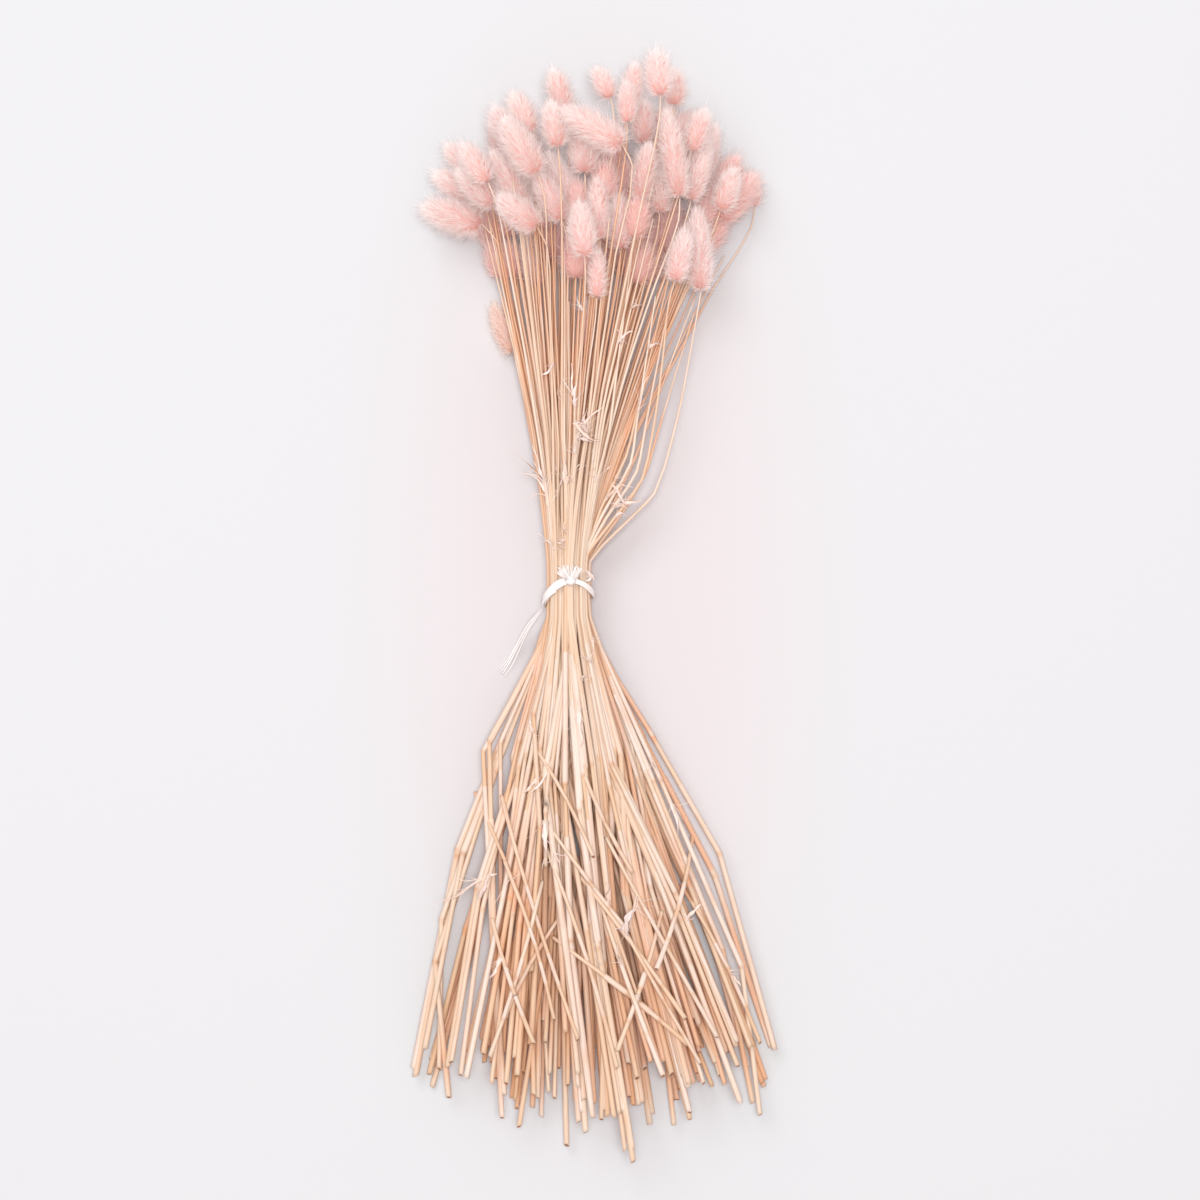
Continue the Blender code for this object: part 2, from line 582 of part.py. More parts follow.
def head_shape(base, axis, length, radius, turn, sides, rows=7):
    """Oval head whose skin rises in staggered pointed tufts that lean towards the tip."""
    side = np.cross(axis, [0.0, 0.0, 1.0])
    side /= np.linalg.norm(side)
    up = np.cross(side, axis)
    at = np.linspace(0.07, 0.94, rows)
    rings = []
    for k, t in enumerate(at):
        ring = []
        for j in range(sides):
            a = turn + 2 * math.pi * (j + 0.5 * (k // 2 % 2)) / sides
            out = (j + k) % 2 == 0
            wave = 0.045 * math.sin(3.1 * j + 5.3 * k + turn * 7)
            r = radius * float(head_profile(np.array(t))) * ((1.0 if out else 0.80) + wave - 0.045)
            s = t + (0.045 if out else -0.025)
            ring.append(base + axis * (length * s) + (side * math.cos(a) + up * math.sin(a)) * r)
        rings.append(ring)
    points, faces = loft(rings, base, base + axis * length)
    return points, faces


def flat_under(points):
    """Anything under the surface is pressed flat onto it."""
    return [(p[0], p[1], max(p[2], 0.0)) for p in points]


def leaf_shape(root, heading, length, width, lift):
    """Thin dry blade: leaves the stem, arches up and curls over, wider in the middle."""
    rings = []
    across = np.array([heading[1], -heading[0], 0.0])
    for t in (0.0, 0.2, 0.45, 0.72, 1.0):
        rise = lift * math.sin(min(t * 1.25, 1.0) * math.pi * 0.5)
        middle = root + np.array([heading[0], heading[1], 0.0]) * length * t + np.array([0, 0, rise])
        middle = middle + across * 0.10 * length * math.sin(2.6 * t)
        half = 0.5 * width * (0.35 + 1.1 * math.sin(math.pi * min(0.15 + 0.8 * t, 1.0)))
        roll = 0.5 * math.sin(2.2 * t)
        flat = across * math.cos(roll) + np.array([0, 0, 1.0]) * math.sin(roll)
        thick = np.array([0, 0, 1.0]) * math.cos(roll) - across * math.sin(roll)
        rings.append([middle + flat * half * u + thick * LEAF_HALF * v for u, v in SQUARE])
    return loft(rings)


def tie_shapes(lines, radius):
    """Raffia strip: a band round the waist drawn up to a knot on top, a frayed end and a long tail."""
    centre = np.array([WAIST_X, WAIST_Z])
    reach = 0.0
    for y in np.arange(WAIST_LOW, WAIST_HIGH + 0.1, 3.0):
        for line, r in zip(lines, radius):
            across = math.hypot(np.interp(y, line[:, 1], line[:, 0]) - centre[0],
                                np.interp(y, line[:, 1], line[:, 2]) - centre[1])
            reach = max(reach, across + np.interp(y, line[:, 1], r) * CORNER)
    inner = reach + GAP
    steps = 22
    points, faces = [], []
    for k in range(steps):
        a = 2 * math.pi * k / steps
        up = max(math.sin(a), 0)
        middle_y = 3.5 + 6.5 * up ** 2 + 2.0 * math.cos(a)      # drawn forward at the top by the knot
        half = 1.9 - 0.5 * up ** 4
        for r, v in ((inner, -1), (inner, 1), (inner + BAND_THICK, 1), (inner + BAND_THICK, -1)):
            points.append((centre[0] + math.cos(a) * r, middle_y + v * half, centre[1] + math.sin(a) * r))
        for j in range(4):
            p, q = k * 4 + j, k * 4 + (j + 1) % 4
            after = (k + 1) % steps * 4
            faces += [(p, q, after + (j + 1) % 4), (p, after + (j + 1) % 4, after + j)]
    shapes = [(points, faces)]

    # the knot: a squashed lump of folded strip
    top = np.array([centre[0] + 1.0, 12.0, centre[1] + inner + 1.6])
    rings = []
    for k, (s, w) in enumerate(((-3.2, 1.3), (-1.8, 2.6), (0.2, 3.0), (2.0, 2.3), (3.2, 1.5))):
        flat = 0.75 if k % 2 else 0.62
        turns = [2 * math.pi * (j + 0.5 * (k % 2)) / 8 for j in range(8)]
        rings.append([top + np.array([math.cos(a) * w * 1.1, s, math.sin(a) * w * flat]) for a in turns])
    shapes.append(loft(rings))

    # frayed end: short strands that stand up and forward from the knot
    for k in range(4):
        turn = math.radians(-30 + 20 * k)
        root = top + np.array([0.7 * (k - 1.5), 1.8, 0.4])
        tip = root + np.array([math.sin(turn) * 8, 7.5 - 0.6 * abs(k - 1.5), 2.5 + (k % 2) * 1.6])
        path = [root - np.array([0, 1.2, 0]), (root + tip) / 2 + np.array([0, 0, 0.8]), tip]
        shapes.append(strip(path, [(0, 0, 1)] * 3, [0.75, 0.85, 0.5]))

    # the tail: off the left side of the band, out beside the stems and down to the surface
    r = inner + BAND_THICK * 0.55
    path, face = [], []
    for a, out, y in TAIL_ROUND:
        face.append((math.cos(math.radians(a)), 0.0, math.sin(math.radians(a))))
        path.append(np.array([centre[0] + face[-1][0] * (r + out), y, centre[1] + face[-1][2] * (r + out)]))
    path += [np.array(p) for p, _ in TAIL_DOWN]
    face += [f for _, f in TAIL_DOWN]
    shapes.append(strip(path, face, TAIL_HALF))
    return shapes


def strip(path, face, half_width):
    """Flat strip along a path, with a direction at each point that its flat side looks in."""
    rings = []
    for k, point in enumerate(path):
        d = path[min(k + 1, len(path) - 1)] - path[max(k - 1, 0)]
        wide = np.cross(d, face[k])
        wide /= np.linalg.norm(wide)
        thin = np.cross(wide, d)
        thin /= np.linalg.norm(thin)
        rings.append([point + wide * half_width[k] * u + thin * STRIP_HALF * v for u, v in SQUARE])
    return loft(rings)


# the bundle


def build():
    for obj in list(bpy.data.objects):
        bpy.data.objects.remove(obj, do_unlink=True)
    collection = bpy.data.collections.new("dried_bunny_tail_grass")
    bpy.context.scene.collection.children.link(collection)
    rng = np.random.default_rng(SEED)
    base, axis, length, head_r, bunch = head_plan(rng)
    slots, sheaf = waist_slots()
    ends = end_plan(rng, len(slots))
    lines, owner = stem_plan(rng, base, axis, slots, ends)
    radius = stem_radii(rng, len(slots))
    lines, base = settle(lines, owner, sheaf, radius, base, axis, length, head_r, bunch)

    # stems, a body for each sheaf pressed together under the tie, with the leaves that grow from them
    leaves = [[] for _ in SHEAVES]
    for x, y, turn, size, width, lift in LEAVES:
        here = np.array([(np.interp(y, s[:, 1], s[:, 0]), np.interp(y, s[:, 1], s[:, 2])) for s in lines])
        reached = y >= lines[:, 0, 1]
        best = int(np.argmax(here[:, 1] - 1.2 * np.abs(here[:, 0] - x) - 1000 * ~reached))
        heading = (math.sin(math.radians(turn)), math.cos(math.radians(turn)))
        root = np.array([here[best][0], y, here[best][1] + 0.4])
        leaves[sheaf[best]].append(leaf_shape(root, heading, size, width, lift))
    for k, place in enumerate(SHEAVES):
        straw = make_material(f"straw_{place}", (0.78 - 0.015 * (k % 3), 0.50, 0.27), 0.62)
        shapes = [stem_shape(lines[s], radius[s]) for s in np.flatnonzero(sheaf == k)] + leaves[k]
        fuse(f"stems_{place}", [(flat_under(points), faces) for points, faces in shapes], straw, collection)

    # heads, each its own body, then the bunches of four in the lowest layers
    for h, row in enumerate(HEADS):
        blush = make_material(f"blush_{h + 1:02d}", (0.85, 0.56 - 0.01 * (h % 5), 0.50), 0.9)
        sides = 10 if row[5] > WIDE_HEAD else 8
        points, faces = head_shape(base[h], axis[h], length[h], head_r[h], 0.7 * h, sides)
        add_object(f"bunny_tail_{h + 1:02d}", flat_under(points), faces, blush, collection)
    for k in range(len(UNDER)):
        blush = make_material(f"deep_blush_{k + 1}", (0.74, 0.42 + 0.01 * (k % 3), 0.36), 0.9)
        shapes = []
        for h in np.flatnonzero(bunch == k):
            points, faces = head_shape(base[h], axis[h], length[h], head_r[h], 0.7 * h, sides=8, rows=5)
            shapes.append((flat_under(points), faces))
        fuse(f"bunny_tails_under_{k + 1}", shapes, blush, collection)

    raffia = make_material("raffia", (0.90, 0.86, 0.80), 0.7)
    fuse("raffia_tie", tie_shapes(lines, radius), raffia, collection)


build()
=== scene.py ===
import math

import bpy
import numpy as np
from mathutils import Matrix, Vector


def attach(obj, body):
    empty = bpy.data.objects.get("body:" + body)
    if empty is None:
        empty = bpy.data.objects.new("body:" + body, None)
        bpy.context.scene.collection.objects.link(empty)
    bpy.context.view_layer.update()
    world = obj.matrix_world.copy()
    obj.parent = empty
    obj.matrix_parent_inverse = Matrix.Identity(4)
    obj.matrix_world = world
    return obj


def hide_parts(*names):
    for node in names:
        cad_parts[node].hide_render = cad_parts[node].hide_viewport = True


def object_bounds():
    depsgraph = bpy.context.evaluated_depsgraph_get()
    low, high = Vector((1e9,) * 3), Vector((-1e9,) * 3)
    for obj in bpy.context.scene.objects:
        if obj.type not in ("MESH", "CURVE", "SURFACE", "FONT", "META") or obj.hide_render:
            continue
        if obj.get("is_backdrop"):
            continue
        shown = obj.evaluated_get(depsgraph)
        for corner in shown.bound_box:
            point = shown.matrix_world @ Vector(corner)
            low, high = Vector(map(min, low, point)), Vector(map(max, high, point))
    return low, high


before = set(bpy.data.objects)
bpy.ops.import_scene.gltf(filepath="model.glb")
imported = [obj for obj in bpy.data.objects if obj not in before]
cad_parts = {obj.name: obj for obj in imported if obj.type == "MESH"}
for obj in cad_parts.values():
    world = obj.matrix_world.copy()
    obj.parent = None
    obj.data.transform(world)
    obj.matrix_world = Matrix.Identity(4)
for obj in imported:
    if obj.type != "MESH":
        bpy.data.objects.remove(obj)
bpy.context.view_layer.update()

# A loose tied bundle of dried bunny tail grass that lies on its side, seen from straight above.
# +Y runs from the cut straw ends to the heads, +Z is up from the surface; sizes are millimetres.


# Straws: hollow grass stems, bleached cream below the tie and ochre towards the heads, grown in straight
# lengths between swollen joints and cut square at the foot. The 72 that carry heads lie as in the
# solids, in nine sheaves that the tie draws together; finer ones lie between, and a few cross on top.

MM = 0.001
SEED = 13

# Driving sizes, mm
WAIST_X, WAIST_Z = -15.5, 27.0   # middle of the tied waist
WAIST_LOW, WAIST_HIGH = -9.0, 24.0  # stems run parallel through the tie between these
SHEAF_RING = 10.75               # circle of the eight outer sheaves round the middle one
STEM_END_R = 1.75                # stem radius at a cut end, before its own variation
STEM_WAIST_R = 1.4
STEM_NECK_R = 0.55               # radius just under a head
GAP = 0.35                       # clearance kept between separate pieces
LAYER = 11.0                     # height from one layer of heads to the next
TANGLE = (30.0, 13.0)            # how far stems stray across and up before they reach their cut ends
ORIGIN_SHIFT = (0.11, 0.62, 0.0)  # puts the origin at the middle of the outline, on the surface
RINGS = 11                       # rings along a stem: cut end, two joints, two at the tie, four, neck, top
CORNER = 1.1                     # a four-sided stem's corners stand this much further out than its radius
JOINT = 1.1                      # swelling of a joint
HEAD_LOW = 9.5                   # height of the lowest layer of heads that shows
PRESSED = (-55.0, 70.0)          # stretch along Y where the stems of a sheaf are pressed into each other

# How pieces are moved clear of each other
STATION = 4.0                    # spacing along Y of the places where stems are measured, mm
ROUNDS = 560
CALM = 0.7                       # share of the rounds after which heads are no longer drawn back
SEARCH = 12                      # rounds from one search for what is near what to the next,
STEMS_NEAR, HEADS_NEAR, MIXED_NEAR = 7.0, 6.0, 14.0  # and how near counts, mm from surface to surface
STEM_SPARE, HEAD_SPARE, MIXED_SPARE = 0.2, 0.1, 0.6  # mm aimed at beyond GAP: stems, heads, one of each
SHEAF_ROOM, PRESSED_ROOM = 0.05, -9.0  # the same between stems of a sheaf; where pressed they may overlap
SLANTED = 1.25                   # most that a slant adds to the room that two stems want
RATHER_UP = 0.6                  # share that is kept of a head's move sideways
STEM_YIELDS, HEAD_YIELDS = 0.8, 0.35  # shares of the way by which a stem and a head leave each other
MANY, MANY_HEADS = 0.75, 0.6     # a piece pushed n times moves by the sum over n to this power
EAGER = 1.15                     # a little further than it is pushed, at most FURTHEST
FURTHEST, HEAD_FURTHEST = 1.6, 1.5  # most that a ring or a head moves in one round, mm
NECK_PULLS = 0.25                # share of the pushes on its stem's top that a head takes on
SPRING, CALM_SPRING = 0.10, 0.02  # how much a stem straightens in a round, before and after CALM
BACK, BUNCH_BACK = 0.10, 0.04    # how much a head or a bunch goes back in a round before CALM,
BACK_ACROSS, BACK_DOWN = 0.5, 0.12  # across and up or down,
FOOT_BACK = [0.985, 0.995]       # and what is left of a cut end's move, across and up
BAR_EXTRA, BARRED = 5.2, 0.5     # mm that a bunch counts thicker, for this share of the rounds
MOBILE = np.array([1.0, 1.0, 1.0, 0.0, 0.0, 1.0, 1.0, 1.0, 1.0, 1.0, 1.0])  # the tie holds two rings

# Heads that show from above: base x, base y, lean from +Y (left is negative), length, layer, width
HEADS = [
    (-64, 223, -74, 37, 1, 20.0), (-59, 234, -46, 31, 3, 17.7), (-72, 239, -60, 29, 1, 15.3),
    (-63, 246, -34, 28, 4, 14.1), (-71, 253, -48, 26, 2, 14.1), (-33, 219, -52, 29, 5, 17.7),
    (-34, 250, -32, 39, 5, 18.8), (-37, 276, -25, 27, 4, 14.1), (-46, 265, -28, 30, 3, 16.5),
    (-40, 231, -32, 42, 3, 15.3), (-29, 221, -31, 37, 2, 15.3), (-19, 224, -28, 33, 4, 15.3),
    (-13, 234, -25, 35, 3, 15.3), (-22, 266, -9, 27, 5, 14.7), (-18, 289, -17, 26, 3, 14.1),
    (16, 266, -59, 42, 6, 18.8), (-6, 252, -5, 28, 4, 17.7), (9, 296, -26, 20, 4, 11.8),
    (19, 280, -1, 25, 5, 10.6), (19, 289, 11, 30, 3, 13.0), (38, 296, -5, 27, 5, 15.9),
    (47, 293, -2, 21, 3, 14.1), (25, 236, 10, 35, 4, 14.1), (37, 229, 0, 36, 3, 15.3),
    (51, 237, -9, 55, 4, 15.3), (58, 265, 17, 26, 3, 14.1), (59, 236, 14, 43, 2, 14.1),
    (64, 246, 13, 39, 1, 13.0), (72, 231, 19, 26, 1, 15.3), (88, 236, -6, 16, 0, 10.5),
    (-6, 201, -6, 33, 6, 15.9), (1, 178, 1, 29, 5, 10.6), (4, 212, -3, 38, 4, 13.0),
    (16, 207, -2, 34, 4, 14.1), (62, 183, -3, 52, 2, 15.3), (48, 188, 13, 33, 3, 14.1),
    (-48, 148, -22, 33, 0, 13.4), (-35, 188, -12, 28, 1, 13.0), (-6, 150, 2, 31, 2, 10.0),
    (29, 271, -3, 27, 2, 14.1),
]

# Bunches of four heads in the two lowest layers: x and y of the bunch's middle base
UNDER = [(-62, 216), (-26, 202), (10, 196), (46, 204), (-40, 254), (9, 254), (42, 262), (68, 230)]
UNDER_LOW = 6.9                  # height of the lower heads of a bunch
BUNCH = [(-4.2, 0, 0), (4.3, 2, 0.3), (-3.9, 3, 8.0), (4.6, -2, 8.2)]  # each head's place: across, along, up

HEAD_SHARE = 0.475               # radius of a head as a share of the width that shows
HEAD_PITCH, LOW_PITCH = 9, 5     # degrees that a head may point up or down; the lowest layer points down more
UNDER_LONG, UNDER_RADIUS = (29, 35), (6.9, 7.4)  # the heads of a bunch

# Cut ends that show from above, x and y
ENDS = [
    (-107, -283), (-99, -282), (-97, -287), (-87, -295), (-85, -272), (-77, -267), (-76, -281),
    (-64, -265), (-53, -246), (-55, -305), (-47, -269), (-45, -311), (-38, -261), (-32, -307),
    (-28, -291), (-17, -324), (-15, -287), (-9, -257), (-6, -313), (3, -266), (6, -281), (6, -300),
    (12, -275), (16, -286), (21, -322), (26, -298), (34, -306), (40, -283), (47, -312), (51, -291),
    (54, -247), (55, -284), (55, -262), (64, -284), (70, -288), (72, -257), (76, -267), (80, -281),
    (85, -277), (92, -264), (98, -305), (101, -290), (107, -267), (-28, -157), (-1, -152), (-37, -195),
]

LOWEST_END = 1.3                 # height of the middle of the straws that lie flat on the surface
FAN_X, FAN_Y = (-74, 92), (-314, -262)  # where the cut ends lie that don't show,
FAN_CURVE = 0.0012               # on an arc that is this much nearer to the tie for each square of x,
ENDS_APART = 6.5                 # this far from each other,
FAN_DEEP, FAN_HALF = 50.0, 122   # in a fan this deep at its middle, which ends this far to the sides
RUN = 6                          # neighbours across whose ends are spread over that depth

# How a stem runs: its rings as shares of the way from the tie to the cut end, or to the neck
RINGS_BELOW, RINGS_ABOVE = [1.0, 0.66, 0.32], [0.17, 0.37, 0.58, 0.80]
STRAY_BELOW, STRAY_ABOVE = 0.05, 0.04  # how far a ring strays along the stem, in the same shares
KINK_ACROSS, KINK_UP = 4.0, 1.5  # how far a joint strays
WAVY = 1.6                       # how far a stem strays halfway to its head
NECK_LONG = 13.0                 # the thin straight piece under a head,
NECK_GAP = 0.35                  # which ends this far from it

# Stems with a strong bend below the tie: cut end's place in ENDS, then x and y of the bend
BENDS = [(3, -94, -214), (0, -82, -151), (40, 87, -217), (9, -66, -89), (17, -31, -104), (42, 74, -150)]

# Stems that stand off on the right above the tie: head's place in HEADS, then x and y of the bend
OUTLIERS = [(34, 35, 64), (35, 28, 72)]
# Names of the nine sheaves that the stems make under the tie: the middle one, then round it
SHEAVES = ("middle", "right", "right_top", "top", "left_top", "left", "left_low", "low", "right_low")


def head_plan(rng):
    """Base point, axis, length, radius and bunch number of every head."""
    rows = []
    for x, y, lean, length, layer, width in HEADS:
        pitch = math.radians(rng.uniform(-HEAD_PITCH, HEAD_PITCH) - LOW_PITCH * (layer < 1))
        rows.append((x, y, HEAD_LOW + layer * LAYER, math.radians(lean), pitch, length,
                     width * HEAD_SHARE, -1))
    for bunch, (x, y) in enumerate(UNDER):
        lean = math.radians(0.42 * x + rng.uniform(-8, 8))
        for across, along, up in BUNCH:
            turn = lean + math.radians(rng.uniform(-5, 5) + 4 * math.copysign(1, across))
            pitch = math.radians(rng.uniform(-3, 3) + (3 if up > 5 else -2))
            rows.append((x + across * math.cos(lean) + along * math.sin(lean),
                         y + along * math.cos(lean) - across * math.sin(lean), UNDER_LOW + up,
                         turn, pitch, rng.uniform(*UNDER_LONG), rng.uniform(*UNDER_RADIUS), bunch))
    rows = np.array(rows)
    base = rows[:, :3].copy()
    lean, pitch = rows[:, 3], rows[:, 4]
    axis = np.stack([np.sin(lean) * np.cos(pitch), np.cos(lean) * np.cos(pitch), np.sin(pitch)], axis=1)
    return base, axis, rows[:, 5], rows[:, 6], rows[:, 7].astype(int)


def waist_slots():
    """Places of the stems in the tied waist: nine sheaves of eight, one in the middle and eight round it."""
    pattern = [(-1, .866), (0, .866), (1, .866), (-.5, 0), (.5, 0), (-1, -.866), (0, -.866), (1, -.866)]
    step = 1.38 * STEM_WAIST_R
    places, sheaf = [], []
    for k in range(9):
        turn = (k - 1) * math.pi / 4
        ring = SHEAF_RING if k else 0.0
        for u, v in pattern:
            out, side = ring + step * v, step * u
            places.append((out * math.cos(turn) - side * math.sin(turn),
                           out * math.sin(turn) + side * math.cos(turn)))
            sheaf.append(k)
    return np.array(places), np.array(sheaf)


def match(targets, slots):
    """Give each slot one target so that near ones go together: swap pairs while that shortens the sum."""
    spread = targets.std(axis=0)
    aim = (targets - targets.mean(axis=0)) / spread * slots.std(axis=0)
    cost = ((aim[:, None, :] - slots[None, :, :]) ** 2).sum(axis=2)
    order = np.argsort(np.argsort(slots[:, 0]))
    owner = np.argsort(targets[:, 0])[order]
    for _ in range(40):
        changed = False
        for a in range(len(owner)):
            now = cost[owner[a], a] + cost[owner, np.arange(len(owner))]
            then = cost[owner, a] + cost[owner[a], np.arange(len(owner))]
            b = int(np.argmax(now - then))
            if b != a and now[b] - then[b] > 1e-6:
                owner[a], owner[b] = owner[b], owner[a]
                changed = True
        if not changed:
            break
    return owner


def end_plan(rng, count):
    """Cut ends: the listed ones, then more by rule in the middle of the fan, each with a height."""
    ends = list(ENDS)
    while len(ends) < count:
        x = rng.uniform(*FAN_X)
        y = rng.uniform(*FAN_Y) + FAN_CURVE * x * x
        if min(math.hypot(x - a, y - b) for a, b in ends) > ENDS_APART:
            ends.append((x, y))
    ends = np.array(ends, float)
    rank = np.empty(count)
    order = np.argsort(ends[:, 0], kind="stable")
    for start in range(0, count, RUN):
        run = order[start:start + RUN]
        rank[run] = rng.permutation(len(run)) / (len(run) - 1)
    depth = FAN_DEEP * np.sqrt(np.clip(1 - (ends[:, 0] / FAN_HALF) ** 2, 0.1, 1))
    return np.column_stack([ends, LOWEST_END + rank * depth])


def stem_plan(rng, base, axis, slots, ends):
    """Ring positions of every stem from cut end to head, before they are moved clear of each other."""
    owner = match(base[:, [0, 2]], slots)             # slot -> head
    loose = ends[:, [0, 2]] + rng.normal(0, 1, (len(ends), 2)) * TANGLE
    foot = match(loose, slots)                        # slot -> cut end
    plain = match(ends[:, [0, 2]], slots)             # the end each stem sets out for at the tie
    lines = np.zeros((len(slots), RINGS, 3))
    for s, place in enumerate(slots):
        head, end = owner[s], ends[foot[s]]
        waist = np.array([WAIST_X + place[0], 0.0, WAIST_Z + place[1]])
        low, high = waist.copy(), waist.copy()
        low[1], high[1] = WAIST_LOW, WAIST_HIGH
        rise = (base[head] - high) / np.linalg.norm(base[head] - high)
        blend = axis[head] * 0.5 + rise * 0.5
        neck = base[head] - blend / np.linalg.norm(blend) * NECK_LONG
        marks = np.array(RINGS_BELOW) + np.append(0, rng.uniform(-STRAY_BELOW, STRAY_BELOW, 2))
        bend = [b for b in BENDS if b[0] == foot[s]]
        for k, m in enumerate(marks):
            p = low + (end - low) * m
            aim = end if k < 2 else 0.3 * end + 0.7 * ends[plain[s]]
            p[0] = low[0] + (aim[0] - low[0]) * m ** (1.2 if aim[0] > low[0] else 1.06)
            p[2] = low[2] + (aim[2] - low[2]) * m
            if bend and 0 < k:
                _, bx, by = bend[0]
                at = (low[1] - by) / (low[1] - end[1])
                if k == 1 + int(at < 0.5):
                    m = at
                    p[1] = by
                    p[2] = low[2] + (end[2] - low[2]) * m
                if m <= at:
                    p[0] = low[0] + (bx - low[0]) * m / at
                else:
                    p[0] = bx + (end[0] - bx) * (m - at) / (1 - at)
            elif k > 0:
                p[0] += rng.normal(0, KINK_ACROSS)
                p[2] += rng.normal(0, KINK_UP)
            if k == 1 and end[2] < LOWEST_END + 0.2:
                p[2] = end[2]                         # the lowest straws lie flat on the surface
            lines[s, k] = p
        lines[s, 3], lines[s, 4] = low, high
        marks = np.array(RINGS_ABOVE) + rng.uniform(-STRAY_ABOVE, STRAY_ABOVE, 4)
        bend = [b for b in OUTLIERS if b[0] == head]
        for k, m in enumerate(marks):
            if bend and k == 1:
                m = (bend[0][2] - high[1]) / (neck[1] - high[1])
            p = high + (neck - high) * m
            p[0] = high[0] + (neck[0] - high[0]) * m ** 1.28
            p[2] = high[2] + (neck[2] - high[2]) * m ** 1.2
            if bend:
                at = (bend[0][2] - high[1]) / (neck[1] - high[1])
                if m <= at:
                    p[0] = high[0] + (bend[0][1] - high[0]) * m / at
                else:
                    p[0] = bend[0][1] + (neck[0] - bend[0][1]) * ((m - at) / (1 - at)) ** 0.7
            elif k in (1, 2):
                p[[0, 2]] += rng.uniform(-WAVY, WAVY, 2)
            lines[s, 5 + k] = p
        lines[s, 9] = neck
        lines[s, 10] = base[head] - axis[head] * NECK_GAP
    return lines, owner


def stem_radii(rng, count):
    """Radius at each ring of each stem."""
    end = STEM_END_R * rng.uniform(0.84, 1.12, count)
    waist = STEM_WAIST_R * rng.uniform(0.95, 1.0, count)
    t = np.array([1.0, 0.9, 0.5, 0, 0, 0, 0, 0, 0, 0, 0])
    u = np.array([0, 0, 0, 0, 0, 0.1, 0.28, 0.5, 0.74, 0.94, 1.0])
    radius = waist[:, None] + (end - waist)[:, None] * t + (STEM_NECK_R - waist)[:, None] * u
    radius[:, 1:3] *= JOINT
    return radius


def head_balls(base, axis, length, radius):
    """Five balls along each head that stand for its outline while pieces are moved clear."""
    t = np.array([0.12, 0.30, 0.50, 0.71, 0.90])
    middle = base[:, None, :] + axis[:, None, :] * (length[:, None] * t)[:, :, None]
    return middle, radius[:, None] * head_profile(t)[None, :] * 1.02


def head_profile(t):
    """Half width of a head along its length as a share of its greatest: an egg, fuller near the base."""
    return np.clip(1 - (2 * np.clip(t, 0, 1) ** 0.8 - 1) ** 2, 0, 1) ** 0.52


def stations(lines):
    """Places along Y where the stems are measured, and each ring's share in a stem's place there."""
    station = np.arange(-328.0, 312.0, STATION)
    ys = lines[:, :, 1]
    share = np.zeros((len(lines), len(station), RINGS))
    live = np.zeros((len(lines), len(station)), bool)
    for s, y in enumerate(ys):
        at = np.clip(np.searchsorted(y, station) - 1, 0, RINGS - 2)
        t = np.clip((station - y[at]) / (y[at + 1] - y[at]), 0, 1)
        share[s, np.arange(len(station)), at] = 1 - t
        share[s, np.arange(len(station)), at + 1] += t
        live[s] = (station >= y[0] - STATION) & (station <= y[-1] + STATION)
    return station, share, live


def near_stems(points, thick, live, sheaf, station):
    """Pairs of stems that come near each other, the stations where they do, and the room they want."""
    one, two = np.triu_indices(len(points), 1)
    apart = points[one] - points[two]
    near = np.hypot(apart[..., 0], apart[..., 1]) < thick[one] + thick[two] + STEMS_NEAR
    both = live[one] & live[two]
    near &= both
    p, k = np.nonzero((near[:, :-1] | near[:, 1:]) & both[:, :-1] & both[:, 1:])
    a, b = one[p], two[p]
    middle = station[k] + STATION / 2
    same = sheaf[a] == sheaf[b]
    room = np.where(same, SHEAF_ROOM, GAP + STEM_SPARE)
    room = np.where(same & (middle > PRESSED[0]) & (middle < PRESSED[1]), PRESSED_ROOM, room)
    room = room + 0.5 * (thick[a, k] + thick[a, k + 1] + thick[b, k] + thick[b, k + 1])
    return a, b, k, room


def share_out(push, hits, who, share, move):
    """Moves a point of a stem by moving the rings on both sides of it, each by its share."""
    scale = share / np.maximum((share * share).sum(axis=1), 0.12)[:, None]
    np.add.at(push, who, scale[:, :, None] * move[:, None, :])
    np.add.at(hits, who, (share > 0.02).astype(float))


def part_stems(points, share, near, push, hits):
    """Pushes stems off each other: both are straight between stations, so the nearest place is exact."""
    a, b, k, room = near
    from_b = points[a, k] - points[b, k]
    run = points[a, k + 1] - points[b, k + 1] - from_b
    length2 = (run * run).sum(axis=1)
    t = np.clip(-(from_b * run).sum(axis=1) / np.maximum(length2, 1e-9), 0, 1)
    closest = from_b + run * t[:, None]
    dist = np.maximum(np.hypot(closest[:, 0], closest[:, 1]), 1e-4)
    slant = np.minimum(np.sqrt(1 + length2 / (2 * STATION) ** 2), SLANTED)
    over = np.maximum(room * slant - dist, 0)
    hit = over > 0
    move = 0.5 * over[hit, None] * closest[hit] / dist[hit, None]
    t = t[hit][:, None]
    for who, sign in ((a[hit], 1.0), (b[hit], -1.0)):
        here = share[who, k[hit]] * (1 - t) + share[who, k[hit] + 1] * t
        share_out(push, hits, who, here * MOBILE, sign * move)


